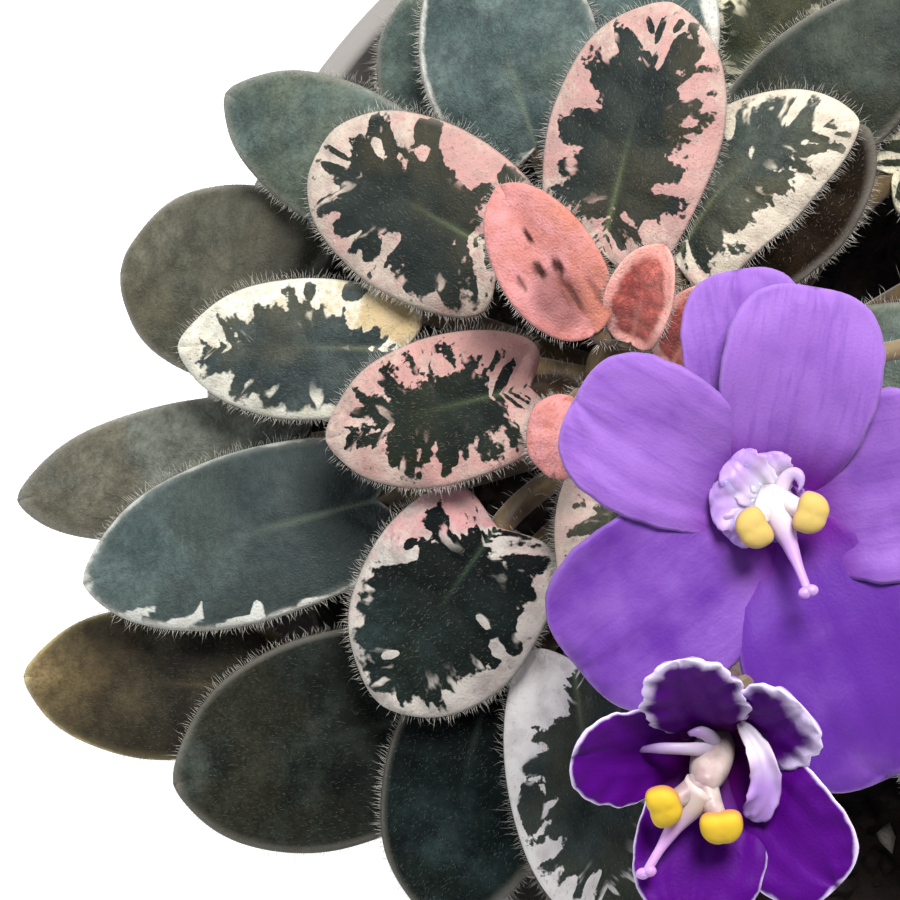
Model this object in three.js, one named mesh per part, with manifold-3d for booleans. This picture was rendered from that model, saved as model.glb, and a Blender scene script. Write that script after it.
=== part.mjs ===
// A potted african violet: variegated rosette, semi-double blooms, round plastic pot.
// Millimetres, +Z up, +Y to the back. The origin is the centre of the pot's underside.
import * as THREE from 'three';
import { mergeVertices } from 'three/addons/utils/BufferGeometryUtils.js';
import Module from 'manifold-3d';

const wasm = await Module();
wasm.setup();

// Pot
const potHeight = 85;
const rimRadius = 56;
const baseRadius = 38;
const wall = 1.8;
const floorThickness = 2;
const rimBand = 14;
const rimStep = 1.6;
const lipRounding = 0.9;
const potSegments = 32;
const drainHoles = 6;
const drainHoleRadius = 3.5;
const drainHoleCircle = 25;

// Soil
const soilTop = 75;
const soilLump = 0.9;
const clearance = 0.3;

// Stem and rosette: the crown stands a little to the left of the pot's axis
const crown = { x: -10, y: 1 };
const crownHeight = 105.5;
const stemLean = { x: -0.12, y: 0.02 };
const stemFoot = 60;
const stemRadius = 5.6;
const stemSides = 12;

// Heights of the overlapping spiral: where a leaf joins the stem, where its blade starts and ends
const footHeight = 80.5;
const footRise = 3.2;
const bladeHeight = 90.2;
const bladeRise = 3.1;
const tipHeight = 89.4;
const tipRise = 2.9;

const leafBlade = {
  rows: 8,
  columns: 4,
  full: 0.9,
  point: 0.3,
  egg: 0.12,
  lobe: 0.16,
  sweep: 0.1,
  arch: 1.2,
  cup: 1.2,
  wave: 0.35,
  waves: 3,
  thickness: 1.1,
  edgeThickness: 0.7,
};
const rippleShift = 1.3;
const petioleRadius = 1.2;
const petioleSides = 5;
const petioleSteps = 3;

// Base and tip are the blade's two ends, [distance, angle] about the crown, with 0 to the right and
// 90 to the back. The storey orders the leaves from the lowest whorl up.
const rosette = [
  { name: 'outer_leaf_1', look: 'olive', base: [34.3, 162.3], tip: [55, 166.5], width: 19.3, storey: -0.1,
    full: 0.72 },
  { name: 'outer_leaf_2', look: 'green', base: [34.6, -171.9], tip: [64.4, -171.4], width: 13, storey: 0.3 },
  { name: 'outer_leaf_3', look: 'golden', base: [47.6, -143.5], tip: [69.6, -157.3], width: 15,
    storey: -0.6, rise: -1 },
  { name: 'outer_leaf_4', look: 'green', base: [27.8, 127.5], tip: [46.3, 122.6], width: 14.5, storey: 0 },
  { name: 'outer_leaf_5', look: 'green', base: [36, -47], tip: [64, -46], width: 17, storey: 0 },
  { name: 'outer_leaf_6', look: 'green', base: [38, -23], tip: [66, -22], width: 17, storey: 0.1 },
  { name: 'outer_leaf_7', look: 'green', base: [37, 20], tip: [65, 19], width: 17, storey: 0 },
  { name: 'outer_leaf_8', look: 'green', base: [40, -2], tip: [67, -1], width: 16, storey: -0.4 },
  { name: 'middle_leaf_1', look: 'green', base: [26.6, 138.4], tip: [51, 144.4], width: 13.8, storey: 1.2 },
  { name: 'middle_leaf_2', look: 'fringed', base: [27.5, -157.3], tip: [58.5, -161.9], width: 16.6,
    storey: 1.4 },
  { name: 'middle_leaf_3', look: 'green', base: [35.7, -121.3], tip: [60, -141], width: 20.6, storey: 1 },
  { name: 'middle_leaf_4', look: 'green', base: [32.3, -116], tip: [54.6, -110.5], width: 16.8,
    storey: 1.9 },
  { name: 'middle_leaf_5', look: 'fringed', base: [24.2, 112], tip: [46.7, 109.7], width: 17.5,
    storey: 2.1 },
  { name: 'middle_leaf_6', look: 'fringed', base: [23.5, 89], tip: [46.5, 89.5], width: 15, storey: 1.2 },
  { name: 'middle_leaf_7', look: 'streaked', base: [28, 74], tip: [48, 65], width: 14, storey: 0.2 },
  { name: 'middle_leaf_8', look: 'green', base: [22.1, 62.8], tip: [46.5, 50.5], width: 14, storey: 2 },
  { name: 'middle_leaf_9', look: 'streaked', base: [31, 38], tip: [57, 36], width: 14, storey: 1 },
  { name: 'middle_leaf_10', look: 'green', base: [15, -4], tip: [42, -2], width: 16, storey: 1.7 },
  { name: 'middle_leaf_11', look: 'green', base: [27, -34], tip: [54, -34], width: 17, storey: 1.2 },
  { name: 'middle_leaf_12', look: 'green', base: [22, -74], tip: [43, -76], width: 15, storey: 1.2 },
  { name: 'inner_leaf_1', look: 'blush', base: [16.7, 134.6], tip: [38, 144.8], width: 17, storey: 3.4,
    full: 0.7, point: 0 },
  { name: 'inner_leaf_2', look: 'blush', base: [11.1, 93.3], tip: [35, 81], width: 16.5, storey: 5, egg: 0 },
  { name: 'inner_leaf_3', look: 'cream', base: [12.2, 56.9], tip: [33.2, 47.5], width: 12.8, storey: 4.1 },
  { name: 'inner_leaf_4', look: 'cream', base: [22, 171.2], tip: [45.2, 174.4], width: 13.6, storey: 2.5 },
  { name: 'inner_leaf_5', look: 'blush', base: [7.7, -170.1], tip: [28.5, -168.7], width: 14, storey: 4.9 },
  { name: 'inner_leaf_6', look: 'blush', base: [18.3, -130.2], tip: [38.5, -127.5], width: 18.3,
    storey: 3.6, full: 0.78 },
  { name: 'inner_leaf_7', look: 'cream', base: [26.9, -100.9], tip: [52.7, -91.2], width: 16.5,
    storey: 2.8 },
  { name: 'inner_leaf_8', look: 'cream', base: [8.4, -90.5], tip: [24.9, -92], width: 11, storey: 4.4 },
  { name: 'inner_leaf_9', look: 'green', base: [13.3, 46.4], tip: [32.5, 44.8], width: 12.5, storey: 3 },
  { name: 'inner_leaf_10', look: 'blush', base: [13, -58], tip: [37, -60], width: 15, storey: 2.3 },
  { name: 'inner_leaf_11', look: 'cream', base: [14, -27], tip: [39, -27], width: 15, storey: 3.2 },
  { name: 'young_leaf_1', look: 'pink', base: [2.8, 88.2], tip: [18, 116], width: 9.4, storey: 7, rise: 6 },
  { name: 'young_leaf_2', look: 'pink', base: [5, 40], tip: [12, 48], width: 5, storey: 6.3, rise: 6 },
  { name: 'young_leaf_3', look: 'pink', base: [5.6, 2], tip: [13, 26], width: 5.4, storey: 5.4, rise: 6 },
  { name: 'young_leaf_4', look: 'pink', base: [3.8, -129.7], tip: [11, -114.4], width: 6.6, storey: 6.2,
    rise: 1 },
];
const whorls = {
  outer: {},
  middle: {},
  inner: { columns: 6 },
  young: { rows: 6, thickness: 0.9, lobe: 0.08, cup: -0.6, wave: 0.2, petiole: 0.8 },
};

// Blooms: the throat's place, the way it faces and its lobes by angle about the throat
const blooms = [
  {
    name: 'bloom_1',
    throat: [8.6, -13, 122],
    tilt: 18,
    toward: -35,
    lobes: [
      { angle: 153, length: 21.5, width: 14.5, rise: 0.7 },
      { angle: 99, length: 22.5, width: 12, rise: -0.9 },
      { angle: 79, length: 21, width: 14, rise: 1.2 },
      { angle: 10, length: 17, width: 16.5, rise: 0.2 },
      { angle: -141, length: 24, width: 16.5, rise: -0.6 },
      { angle: -68, length: 28, width: 17, rise: -1 },
    ],
    opening: [26, -14],
    columnTop: [-0.6, 0.9, 3],
    anthers: [[-1.9, -1.5, 5.3], [2.8, -0.4, 5.3]],
    styleTip: [2.4, -6.6, 6.5],
    curls: [70, 118, 165, 215],
  },
  {
    name: 'bloom_2',
    throat: [5, -33.6, 130],
    tilt: 30,
    toward: -72,
    lobes: [
      { angle: 95, length: 16.5, width: 11, rise: 0.5 },
      { angle: 33, length: 14.5, width: 10, rise: -0.3 },
      { angle: 166, length: 16.5, width: 11.5, rise: -0.3 },
      { angle: -101, length: 16, width: 12, rise: 0.3 },
      { angle: -46, length: 18, width: 11.5, rise: -0.5 },
    ],
    opening: [48, 30],
    columnTop: [-1.3, -1.5, 6.4],
    anthers: [[-4.4, -2.2, 8.8], [0.4, -4.3, 8.8]],
    styleTip: [-6.2, -7.6, 10],
    curls: [40, 85, 170],
  },
  {
    name: 'bloom_3',
    throat: [43, 5, 118],
    tilt: 42,
    toward: 12,
    lobes: [
      { angle: 100, length: 16.5, width: 13.5, rise: 0.6 },
      { angle: 30, length: 17, width: 13.5, rise: -0.4 },
      { angle: -42, length: 19, width: 15, rise: 0.6 },
      { angle: -112, length: 19, width: 15, rise: -0.4 },
      { angle: 172, length: 16.5, width: 14, rise: 0 },
    ],
    opening: [38, -4],
    columnTop: [0, 0.5, 3],
    anthers: [[-2.2, -1, 5.3], [2.2, -1, 5.3]],
    styleTip: [-2.6, -6, 6.4],
    curls: [60, 120, 180],
  },
];
const petalBlade = {
  rows: 6,
  columns: 4,
  full: 0.68,
  point: 0,
  egg: -0.25,
  lobe: 0,
  sweep: 0.08,
  cup: -0.9,
  wave: 0.35,
  waves: 2,
  thickness: 0.9,
  edgeThickness: 0.65,
};
const throatDepth = 4;
const throatRadius = 2.7;
const throatBore = 1.6;
const antherRadius = 1.6;
const antherHeight = 1.25;
const styleRadius = 0.45;
const curlBlade = { rows: 4, columns: 2, width: 2, wave: 0, cup: -0.3, thickness: 0.8 };
const curlLength = 5.6;
const filamentRadius = 0.7;
const knobRadius = 0.75;
const calyx = { radius: 2.3, height: 1.6, sepals: 5, sepalLength: 6.5, droop: -12 };
const sepalBlade = { rows: 3, columns: 2, width: 1.7, thickness: 0.9, full: 0.8, cup: 0, wave: 0 };
const bud = { radius: 2, stretch: 1.5 };
const stalkRadius = 0.95;
const pedicelRadius = 0.8;

const up = new THREE.Vector3(0, 0, 1);
const radians = THREE.MathUtils.degToRad;
const at = (x, y, z) => new THREE.Vector3(x, y, z);

// Closed solids and booleans

function closedGeometry(positions, faces) {
  const geometry = new THREE.BufferGeometry();
  geometry.setAttribute('position', new THREE.Float32BufferAttribute(positions, 3));
  geometry.setIndex(faces);
  return signedVolume(positions, faces) < 0 ? turnedInsideOut(geometry, faces) : geometry;
}

function signedVolume(positions, faces) {
  const corner = (index) => at(...positions.slice(3 * index, 3 * index + 3));
  let volume = 0;
  for (let i = 0; i < faces.length; i += 3) {
    const [a, b, c] = [corner(faces[i]), corner(faces[i + 1]), corner(faces[i + 2])];
    volume += a.dot(b.cross(c)) / 6;
  }
  return volume;
}

function turnedInsideOut(geometry, faces) {
  const turned = [];
  for (let i = 0; i < faces.length; i += 3) {
    turned.push(faces[i], faces[i + 2], faces[i + 1]);
  }
  geometry.setIndex(turned);
  return geometry;
}

function toSolid(geometry) {
  const bare = geometry.clone();
  bare.deleteAttribute('normal');
  bare.deleteAttribute('uv');
  const merged = mergeVertices(bare, 1e-4);
  return new wasm.Manifold(new wasm.Mesh({
    numProp: 3,
    vertProperties: new Float32Array(merged.attributes.position.array),
    triVerts: new Uint32Array(merged.index.array),
  }));
}

function toGeometry(solid) {
  const mesh = solid.getMesh();
  const geometry = new THREE.BufferGeometry();
  geometry.setAttribute('position', new THREE.BufferAttribute(mesh.vertProperties, 3));
  geometry.setIndex(new THREE.BufferAttribute(mesh.triVerts, 1));
  return geometry;
}

const joined = (geometries) => geometries.map(toSolid).reduce((all, next) => all.add(next));

// A closed skin over a row of rings, with each end drawn in to its end point. Rings of equal length are
// joined by quads whose diagonals match on the upper and lower face; others are zipped together.
function loft(rings, first, last) {
  const positions = rings.flat().flatMap((point) => [point.x, point.y, point.z]);
  const faces = [];
  const starts = [];
  let count = 0;
  for (const ring of rings) {
    starts.push(count);
    count += ring.length;
  }
  positions.push(first.x, first.y, first.z, last.x, last.y, last.z);
  for (let i = 0; i + 1 < rings.length; i += 1) {
    const lower = { start: starts[i], count: rings[i].length };
    const upper = { start: starts[i + 1], count: rings[i + 1].length };
    faces.push(...(lower.count === upper.count ? quadFaces(lower, upper) : zipFaces(lower, upper)));
  }
  const end = rings.length - 1;
  faces.push(...fanFaces({ start: starts[0], count: rings[0].length }, count).reverse());
  faces.push(...fanFaces({ start: starts[end], count: rings[end].length }, count + 1));
  return closedGeometry(positions, faces);
}

const ringIndex = (ring, k) => ring.start + (k % ring.count);

function quadFaces(lower, upper) {
  const faces = [];
  for (let k = 0; k < lower.count; k += 1) {
    const a = ringIndex(lower, k);
    const b = ringIndex(lower, k + 1);
    const c = ringIndex(upper, k + 1);
    const d = ringIndex(upper, k);
    const onUpperFace = k + 1 < lower.count / 2;
    faces.push(...(onUpperFace ? [a, b, c, a, c, d] : [a, b, d, b, c, d]));
  }
  return faces;
}

function zipFaces(lower, upper) {
  const faces = [];
  let i = 0;
  let j = 0;
  while (i < lower.count || j < upper.count) {
    const stepLower = j === upper.count
      || (i < lower.count && (i + 1) / lower.count <= (j + 1) / upper.count);
    if (stepLower) {
      faces.push(ringIndex(lower, i), ringIndex(lower, i + 1), ringIndex(upper, j));
      i += 1;
    } else {
      faces.push(ringIndex(lower, i), ringIndex(upper, j + 1), ringIndex(upper, j));
      j += 1;
    }
  }
  return faces;
}

function fanFaces(ring, point) {
  const faces = [];
  for (let k = 0; k < ring.count; k += 1) {
    faces.push(ringIndex(ring, k), ringIndex(ring, k + 1), point);
  }
  return faces;
}

// Axes across a curve: the direction closest to the side given, and the normal
function frameOn(curve, along, side) {
  const forward = curve.getTangent(THREE.MathUtils.clamp(along, 0, 1));
  const normal = forward.clone().cross(side).normalize();
  return { left: normal.clone().cross(forward), normal };
}

function tubeRing(curve, along, side, radius, sides) {
  const { left, normal } = frameOn(curve, along, side);
  const centre = curve.getPoint(along);
  return Array.from({ length: sides }, (_, k) => {
    const turn = 2 * Math.PI * (k + 0.5) / sides;
    return centre.clone().addScaledVector(left, -radius * Math.cos(turn))
      .addScaledVector(normal, radius * Math.sin(turn));
  });
}

function taperedTube(curve, side, radii, sides) {
  const last = radii.length - 1;
  const rings = radii.map((radius, i) => tubeRing(curve, i / last, side, radius, sides));
  return loft(rings, curve.getPoint(0), curve.getPoint(1));
}

// A blade's point on its middle surface. The outline's edge sweeps half a turn from base to tip:
// along = (1 - cos) / 2 less a lobe that hangs back beside the stalk, across = sin ^ (full + point * t^2).
// Each row runs from the midrib to the edge, as the side veins do.
function bladePoint(spine, side, blade, t, v) {
  const turn = Math.PI * t;
  const backLobe = blade.lobe * Math.sin(2 * turn) * Math.max(0, Math.cos(turn));
  const edgeAlong = (1 - Math.cos(turn)) / 2 - backLobe;
  const edgeAcross = blade.width / 2 * Math.sin(turn) ** (blade.full + blade.point * t * t)
    * (1 + blade.egg * Math.cos(turn));
  const midAlong = t - blade.sweep * Math.sin(turn);
  const along = midAlong + (edgeAlong - midAlong) * Math.abs(v);
  const { left, normal } = frameOn(spine, along, side);
  const ripple = Math.sin(2 * Math.PI * blade.waves * t + (v < 0 ? rippleShift : 0)) * Math.sin(turn);
  const height = (blade.wave * ripple - blade.cup * Math.sin(turn)) * v * v;
  const onSpine = spine.getPoint(Math.max(along, 0));
  const overhang = spine.getTangent(0).multiplyScalar(Math.min(along, 0) * spine.getLength());
  const point = onSpine.add(overhang).addScaledVector(left, v * edgeAcross)
    .addScaledVector(normal, height);
  return { point, normal };
}

function bladeRings(spine, side, blade) {
  const rings = [];
  for (let row = 1; row < blade.rows; row += 1) {
    const top = [];
    const under = [];
    for (let column = 0; column <= blade.columns; column += 1) {
      const v = 2 * column / blade.columns - 1;
      const { point, normal } = bladePoint(spine, side, blade, row / blade.rows, v);
      const half = THREE.MathUtils.lerp(blade.thickness, blade.edgeThickness, v * v) / 2;
      top.push(point.clone().addScaledVector(normal, half));
      under.unshift(point.clone().addScaledVector(normal, -half));
    }
    rings.push([...top, ...under]);
  }
  return rings;
}

// Pot and soil

const wallRadius = (height) => (
  THREE.MathUtils.mapLinear(height, 0, potHeight, baseRadius, rimRadius - rimStep));

function lathe(profile) {
  return new THREE.LatheGeometry(profile.map(([r, z]) => new THREE.Vector2(r, z)), potSegments)
    .rotateX(Math.PI / 2);
}

function potGeometry() {
  const shoulder = potHeight - rimBand;
  const outline = [
    [0, 0],
    [baseRadius - 1.2, 0],
    [baseRadius, 1.2],
    [wallRadius(shoulder), shoulder],
    [wallRadius(shoulder + 2) + rimStep, shoulder + 2],
    [rimRadius, potHeight - lipRounding],
    [rimRadius - lipRounding, potHeight],
    [rimRadius - wall, potHeight],
    [rimRadius - wall - lipRounding, potHeight - lipRounding],
    [wallRadius(shoulder + 2) - wall + rimStep, shoulder + 3],
    [wallRadius(shoulder) - wall, shoulder + 1],
    [wallRadius(floorThickness) - wall, floorThickness],
    [0, floorThickness],
  ];
  const holes = Array.from({ length: drainHoles }, (_, k) => {
    const turn = 2 * Math.PI * (k + 0.5) / drainHoles;
    return new THREE.CylinderGeometry(drainHoleRadius, drainHoleRadius, 4 * floorThickness, 16)
      .rotateX(Math.PI / 2)
      .translate(drainHoleCircle * Math.cos(turn), drainHoleCircle * Math.sin(turn), 0);
  });
  return toGeometry(toSolid(lathe(outline)).subtract(joined(holes)));
}

function stemAxis(height) {
  const below = crownHeight - height;
  return at(crown.x - stemLean.x * below, crown.y - stemLean.y * below, height);
}

// The stem tapers towards the crown and rounds off above it
const stemRadiusAt = (height) => stemRadius - 1.4 * THREE.MathUtils.smoothstep(height, soilTop, crownHeight);

function stemGeometry(grow) {
  const steps = 9;
  const axis = new THREE.LineCurve3(stemAxis(stemFoot - grow), stemAxis(crownHeight + grow));
  const radii = Array.from({ length: steps + 1 }, (_, i) => {
    const share = i / steps;
    const height = THREE.MathUtils.lerp(stemFoot, crownHeight, share);
    const crownRounding = i === steps ? 0.5 : 1;
    return (stemRadiusAt(height) + grow) * crownRounding;
  });
  return taperedTube(axis, at(0, 1, 0), radii, stemSides);
}

// Lumpy potting mix: rings from the bottom up the wall and in over the top
function soilGeometry() {
  const shoulder = potHeight - rimBand;
  const inset = wall + clearance;
  const crumble = (r, turn) => soilLump * Math.sin(0.31 * r + 3 * turn) * Math.sin(5 * turn - 0.17 * r);
  const ring = (radius, height) => Array.from({ length: potSegments }, (_, k) => {
    const turn = 2 * Math.PI * k / potSegments;
    return at(radius * Math.sin(turn), -radius * Math.cos(turn), height(radius, turn));
  });
  const topRadius = wallRadius(shoulder) - inset;
  const mound = (r, turn) => soilTop + 1.5 * (1 - r / topRadius) + crumble(r, turn);
  const rings = [
    ring(wallRadius(floorThickness) - inset, () => floorThickness + clearance),
    ring(topRadius, () => shoulder + 1),
    ring(topRadius - 0.6, mound),
    ...[0.78, 0.52, 0.26].map((share) => ring(topRadius * share, mound)),
  ];
  const solid = toSolid(loft(rings, at(0, 0, floorThickness + clearance), at(0, 0, mound(0, 0))));
  return toGeometry(solid.subtract(toSolid(stemGeometry(clearance))));
}

// Leaves

function aboutCrown([distance, angle], height) {
  const turn = radians(angle);
  return at(crown.x + distance * Math.cos(turn), crown.y + distance * Math.sin(turn), height);
}

function leafGeometry(row) {
  const blade = { ...leafBlade, ...whorls[row.name.split('_')[0]], ...row };
  const start = aboutCrown(row.base, bladeHeight + bladeRise * row.storey);
  const end = aboutCrown(row.tip, tipHeight + tipRise * row.storey + (row.rise ?? 0));
  const side = end.clone().sub(start).setZ(0).normalize().cross(up).negate();
  const middle = start.clone().lerp(end, 0.5).addScaledVector(up, 2 * blade.arch);
  const spine = new THREE.QuadraticBezierCurve3(start, middle, end);

  const height = footHeight + footRise * row.storey;
  const outward = at(Math.cos(radians(row.base[1])), Math.sin(radians(row.base[1])), 0);
  const foot = stemAxis(height).addScaledVector(outward, stemRadiusAt(height) + clearance);
  const reach = foot.distanceTo(start) / 3;
  const petiole = new THREE.CubicBezierCurve3(
    foot,
    foot.clone().addScaledVector(outward, reach),
    start.clone().addScaledVector(spine.getTangent(0), -reach),
    start,
  );
  const radius = blade.petiole ?? petioleRadius;
  const stalk = Array.from({ length: petioleSteps + 1 }, (_, i) => (
    tubeRing(petiole, 0.98 * i / petioleSteps, side, radius, petioleSides)));
  return loft([...stalk, ...bladeRings(spine, side, blade)], foot, end);
}

// Blooms: petals stand round the throat on the bloom's own axes, +Z out of the flower

function radialSpine(angle, length, [startAngle, endAngle], rise) {
  const turn = radians(angle);
  const out = at(Math.cos(turn), Math.sin(turn), 0);
  const step = (slope) => out.clone().multiplyScalar(Math.cos(radians(slope)) * length / 2)
    .addScaledVector(up, Math.sin(radians(slope)) * length / 2);
  const start = at(0, 0, -0.8);
  const middle = start.clone().add(step(startAngle)).addScaledVector(up, rise);
  return new THREE.QuadraticBezierCurve3(start, middle, middle.clone().add(step(endAngle)));
}

function petalGeometry(spine, angle, blade) {
  const side = at(-Math.sin(radians(angle)), Math.cos(radians(angle)), 0);
  return loft(bladeRings(spine, side, blade), spine.getPoint(0), spine.getPoint(1));
}

const drum = (radius, bottom, top, sides) => new THREE.CylinderGeometry(radius, radius, top - bottom, sides)
  .rotateX(Math.PI / 2).translate(0, 0, (top + bottom) / 2);

function corollaGeometry(bloom) {
  const petals = bloom.lobes.map((lobe) => (
    petalGeometry(radialSpine(lobe.angle, lobe.length, bloom.opening, lobe.rise), lobe.angle,
      { ...petalBlade, ...lobe })));
  const throat = drum(throatRadius, -throatDepth, 0.6, 16);
  const bore = drum(throatBore + clearance, -throatDepth - 1, 30, 12);
  return toGeometry(joined([throat, ...petals]).subtract(toSolid(bore)));
}

// White column: a plug in the throat, curled petal-like stamens, filaments, the style and its knob
function columnGeometry(bloom) {
  const top = at(...bloom.columnTop);
  const across = at(0, 1, 0);
  const axis = new THREE.QuadraticBezierCurve3(at(0, 0, 0), at(0, 0, top.z / 2), top);
  const neck = taperedTube(axis, across, [1.5, 1.6, 1.5, 1.2], 8);
  const plug = drum(throatBore, -throatDepth, 0.2, 12);
  const filaments = bloom.anthers.map(([x, y, z]) => taperedTube(
    new THREE.LineCurve3(top.clone().setZ(top.z - 1), at(x, y, z - antherHeight - 2.5 * clearance)),
    across,
    [filamentRadius, filamentRadius],
    6,
  ));
  const tip = at(...bloom.styleTip);
  const style = taperedTube(
    new THREE.QuadraticBezierCurve3(top.clone().setZ(top.z - 1), tip.clone().lerp(top, 0.5).setZ(top.z), tip),
    across,
    [2 * styleRadius, 1.5 * styleRadius, styleRadius, styleRadius],
    6,
  );
  const knob = new THREE.SphereGeometry(knobRadius, 6, 4).translate(tip.x, tip.y, tip.z);
  const curlOpening = [60 + bloom.opening[0] / 2, 20 + bloom.opening[1]];
  const curls = bloom.curls.map((angle) => (
    petalGeometry(radialSpine(angle, curlLength, curlOpening, 0.6), angle, { ...petalBlade, ...curlBlade })));
  return toGeometry(joined([plug, neck, ...filaments, style, knob, ...curls]));
}

function antherGeometry([x, y, z]) {
  return new THREE.SphereGeometry(antherRadius, 8, 6).scale(1, 0.8, antherHeight / antherRadius)
    .translate(x, y, z);
}

function bloomPlace(bloom) {
  const facing = at(0, 0, 1).applyAxisAngle(
    at(-Math.sin(radians(bloom.toward)), Math.cos(radians(bloom.toward)), 0),
    radians(bloom.tilt),
  );
  const turn = new THREE.Quaternion().setFromUnitVectors(up, facing);
  return { throat: at(...bloom.throat), facing, turn };
}

// Green calyx under a bloom: a small cup with narrow sepals
function calyxGeometries(bloom) {
  const { throat, turn } = bloomPlace(bloom);
  const rim = -throatDepth - clearance;
  const cup = drum(calyx.radius, rim - calyx.height, rim, 10);
  const sepals = Array.from({ length: calyx.sepals }, (_, k) => {
    const angle = 360 * (k + 0.5) / calyx.sepals;
    const spine = radialSpine(angle, calyx.sepalLength, [0, calyx.droop], 0);
    return petalGeometry(spine, angle, { ...petalBlade, ...sepalBlade }).translate(0, 0, rim - 0.4);
  });
  return [cup, ...sepals].map((piece) => piece.applyQuaternion(turn)
    .translate(throat.x, throat.y, throat.z));
}

function roundTube(points, radius, steps) {
  const shape = new THREE.Shape().absarc(0, 0, radius, 0, 2 * Math.PI);
  const path = new THREE.CatmullRomCurve3(points);
  return new THREE.ExtrudeGeometry(shape, { curveSegments: 3, steps, extrudePath: path });
}

const behindCalyx = (bloom) => {
  const { throat, facing } = bloomPlace(bloom);
  const rim = throatDepth + clearance;
  return [calyx.height, 5].map((depth) => throat.clone().addScaledVector(facing, -rim - depth));
};

function budGeometry(place) {
  return new THREE.SphereGeometry(bud.radius, 8, 6).scale(1, 1, bud.stretch)
    .translate(place.x, place.y, place.z);
}

const [firstBloom, secondBloom, thirdBloom] = blooms;
const stalkFoot = (angle, height) => [0, 2.4].map((out) => stemAxis(height).add(
  at(Math.cos(radians(angle)), Math.sin(radians(angle)), 0)
    .multiplyScalar(stemRadiusAt(height) + clearance + 0.15 + out),
));

// The front stalk forks to the two front blooms and a bud
function frontStalkGeometry() {
  const fork = at(0, -14, 109);
  const budPlace = at(13.5, -24, 111);
  return toGeometry(joined([
    roundTube([...stalkFoot(-62, 103), at(-4.6, -7.6, 105.5), fork], stalkRadius, 7),
    roundTube([at(-0.2, -13.7, 108.7), ...behindCalyx(firstBloom).reverse()], pedicelRadius, 5),
    roundTube([at(0, -13.7, 108.8), ...behindCalyx(secondBloom).reverse()], pedicelRadius, 5),
    roundTube([at(-0.2, -13.6, 108.7), at(6, -19, 107.5), budPlace], pedicelRadius, 5),
    budGeometry(budPlace),
    ...calyxGeometries(firstBloom),
    ...calyxGeometries(secondBloom),
  ]));
}

// The side stalk carries the bloom on the right and a bud beside it
function sideStalkGeometry() {
  const fork = at(24, 3, 109);
  const budPlace = at(33, -6, 113);
  return toGeometry(joined([
    roundTube([...stalkFoot(-30, 101), at(4, -0.5, 107.5), fork], stalkRadius, 8),
    roundTube([at(23.6, 3, 108.9), ...behindCalyx(thirdBloom).reverse()], pedicelRadius, 5),
    roundTube([at(23.4, 3, 108.9), at(29, -1.5, 109.5), budPlace], pedicelRadius, 5),
    budGeometry(budPlace),
    ...calyxGeometries(thirdBloom),
  ]));
}

// Finishes and the scene graph

const paint = (color, roughness) => new THREE.MeshStandardMaterial({ color, roughness, metalness: 0 });
const leafColours = {
  green: '#5c6b62',
  olive: '#5d6156',
  golden: '#6b604a',
  fringed: '#576464',
  streaked: '#545a45',
  blush: '#9a8a80',
  cream: '#8d9284',
  pink: '#c98a7c',
};

function part(name, geometry, material) {
  const mesh = new THREE.Mesh(geometry, material);
  mesh.name = name;
  return mesh;
}

function bloomGroup(bloom) {
  const { throat, turn } = bloomPlace(bloom);
  const violet = paint('#8e5fcf', 0.6);
  const lilac = paint('#ded2e0', 0.6);
  const yellow = paint('#efd05a', 0.7);
  const bloomParts = new THREE.Group();
  bloomParts.position.copy(throat);
  bloomParts.quaternion.copy(turn);
  bloomParts.add(part(`${bloom.name}_corolla`, corollaGeometry(bloom), violet));
  bloomParts.add(part(`${bloom.name}_column`, columnGeometry(bloom), lilac));
  bloom.anthers.forEach((place, k) => {
    bloomParts.add(part(`${bloom.name}_anther_${k + 1}`, antherGeometry(place), yellow));
  });
  return bloomParts;
}

const group = new THREE.Group();
const stalkGreen = paint('#6f6a4c', 0.6);
group.add(part('pot', potGeometry(), paint('#b9b5b1', 0.45)));
group.add(part('soil', soilGeometry(), paint('#2e231b', 0.95)));
group.add(part('stem', stemGeometry(0), paint('#6b5a3f', 0.8)));
for (const row of rosette) {
  group.add(part(row.name, leafGeometry(row), paint(leafColours[row.look], 0.8)));
}
group.add(part('front_stalk', frontStalkGeometry(), stalkGreen));
group.add(part('side_stalk', sideStalkGeometry(), stalkGreen));
for (const bloom of blooms) {
  group.add(bloomGroup(bloom));
}

export default group;
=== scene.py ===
# Potted african violet: fine leaves, blooms, hairs, soil and pot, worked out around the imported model.
import math
import bpy
import numpy as np
from mathutils import Matrix, Vector


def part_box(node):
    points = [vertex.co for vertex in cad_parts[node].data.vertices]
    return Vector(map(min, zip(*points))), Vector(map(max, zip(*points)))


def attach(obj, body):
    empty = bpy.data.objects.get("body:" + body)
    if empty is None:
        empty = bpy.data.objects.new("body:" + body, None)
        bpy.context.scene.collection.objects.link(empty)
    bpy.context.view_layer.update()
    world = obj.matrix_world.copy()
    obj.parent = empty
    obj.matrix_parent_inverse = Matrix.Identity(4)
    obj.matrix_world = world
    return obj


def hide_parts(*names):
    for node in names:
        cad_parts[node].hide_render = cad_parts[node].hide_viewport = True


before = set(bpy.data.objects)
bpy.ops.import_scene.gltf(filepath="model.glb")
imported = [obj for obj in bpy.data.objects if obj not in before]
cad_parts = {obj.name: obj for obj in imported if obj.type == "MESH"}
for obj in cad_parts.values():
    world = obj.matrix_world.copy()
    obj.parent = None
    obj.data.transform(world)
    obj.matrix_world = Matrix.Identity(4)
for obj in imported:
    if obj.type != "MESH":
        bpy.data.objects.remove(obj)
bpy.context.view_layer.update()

mm = 0.001  # all lengths below are millimetres
chance = np.random.default_rng(23)
up = np.array([0.0, 0.0, 1.0])
print("frame loaded,", len(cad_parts), "nodes")


# Camera, floor and studio light

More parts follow.
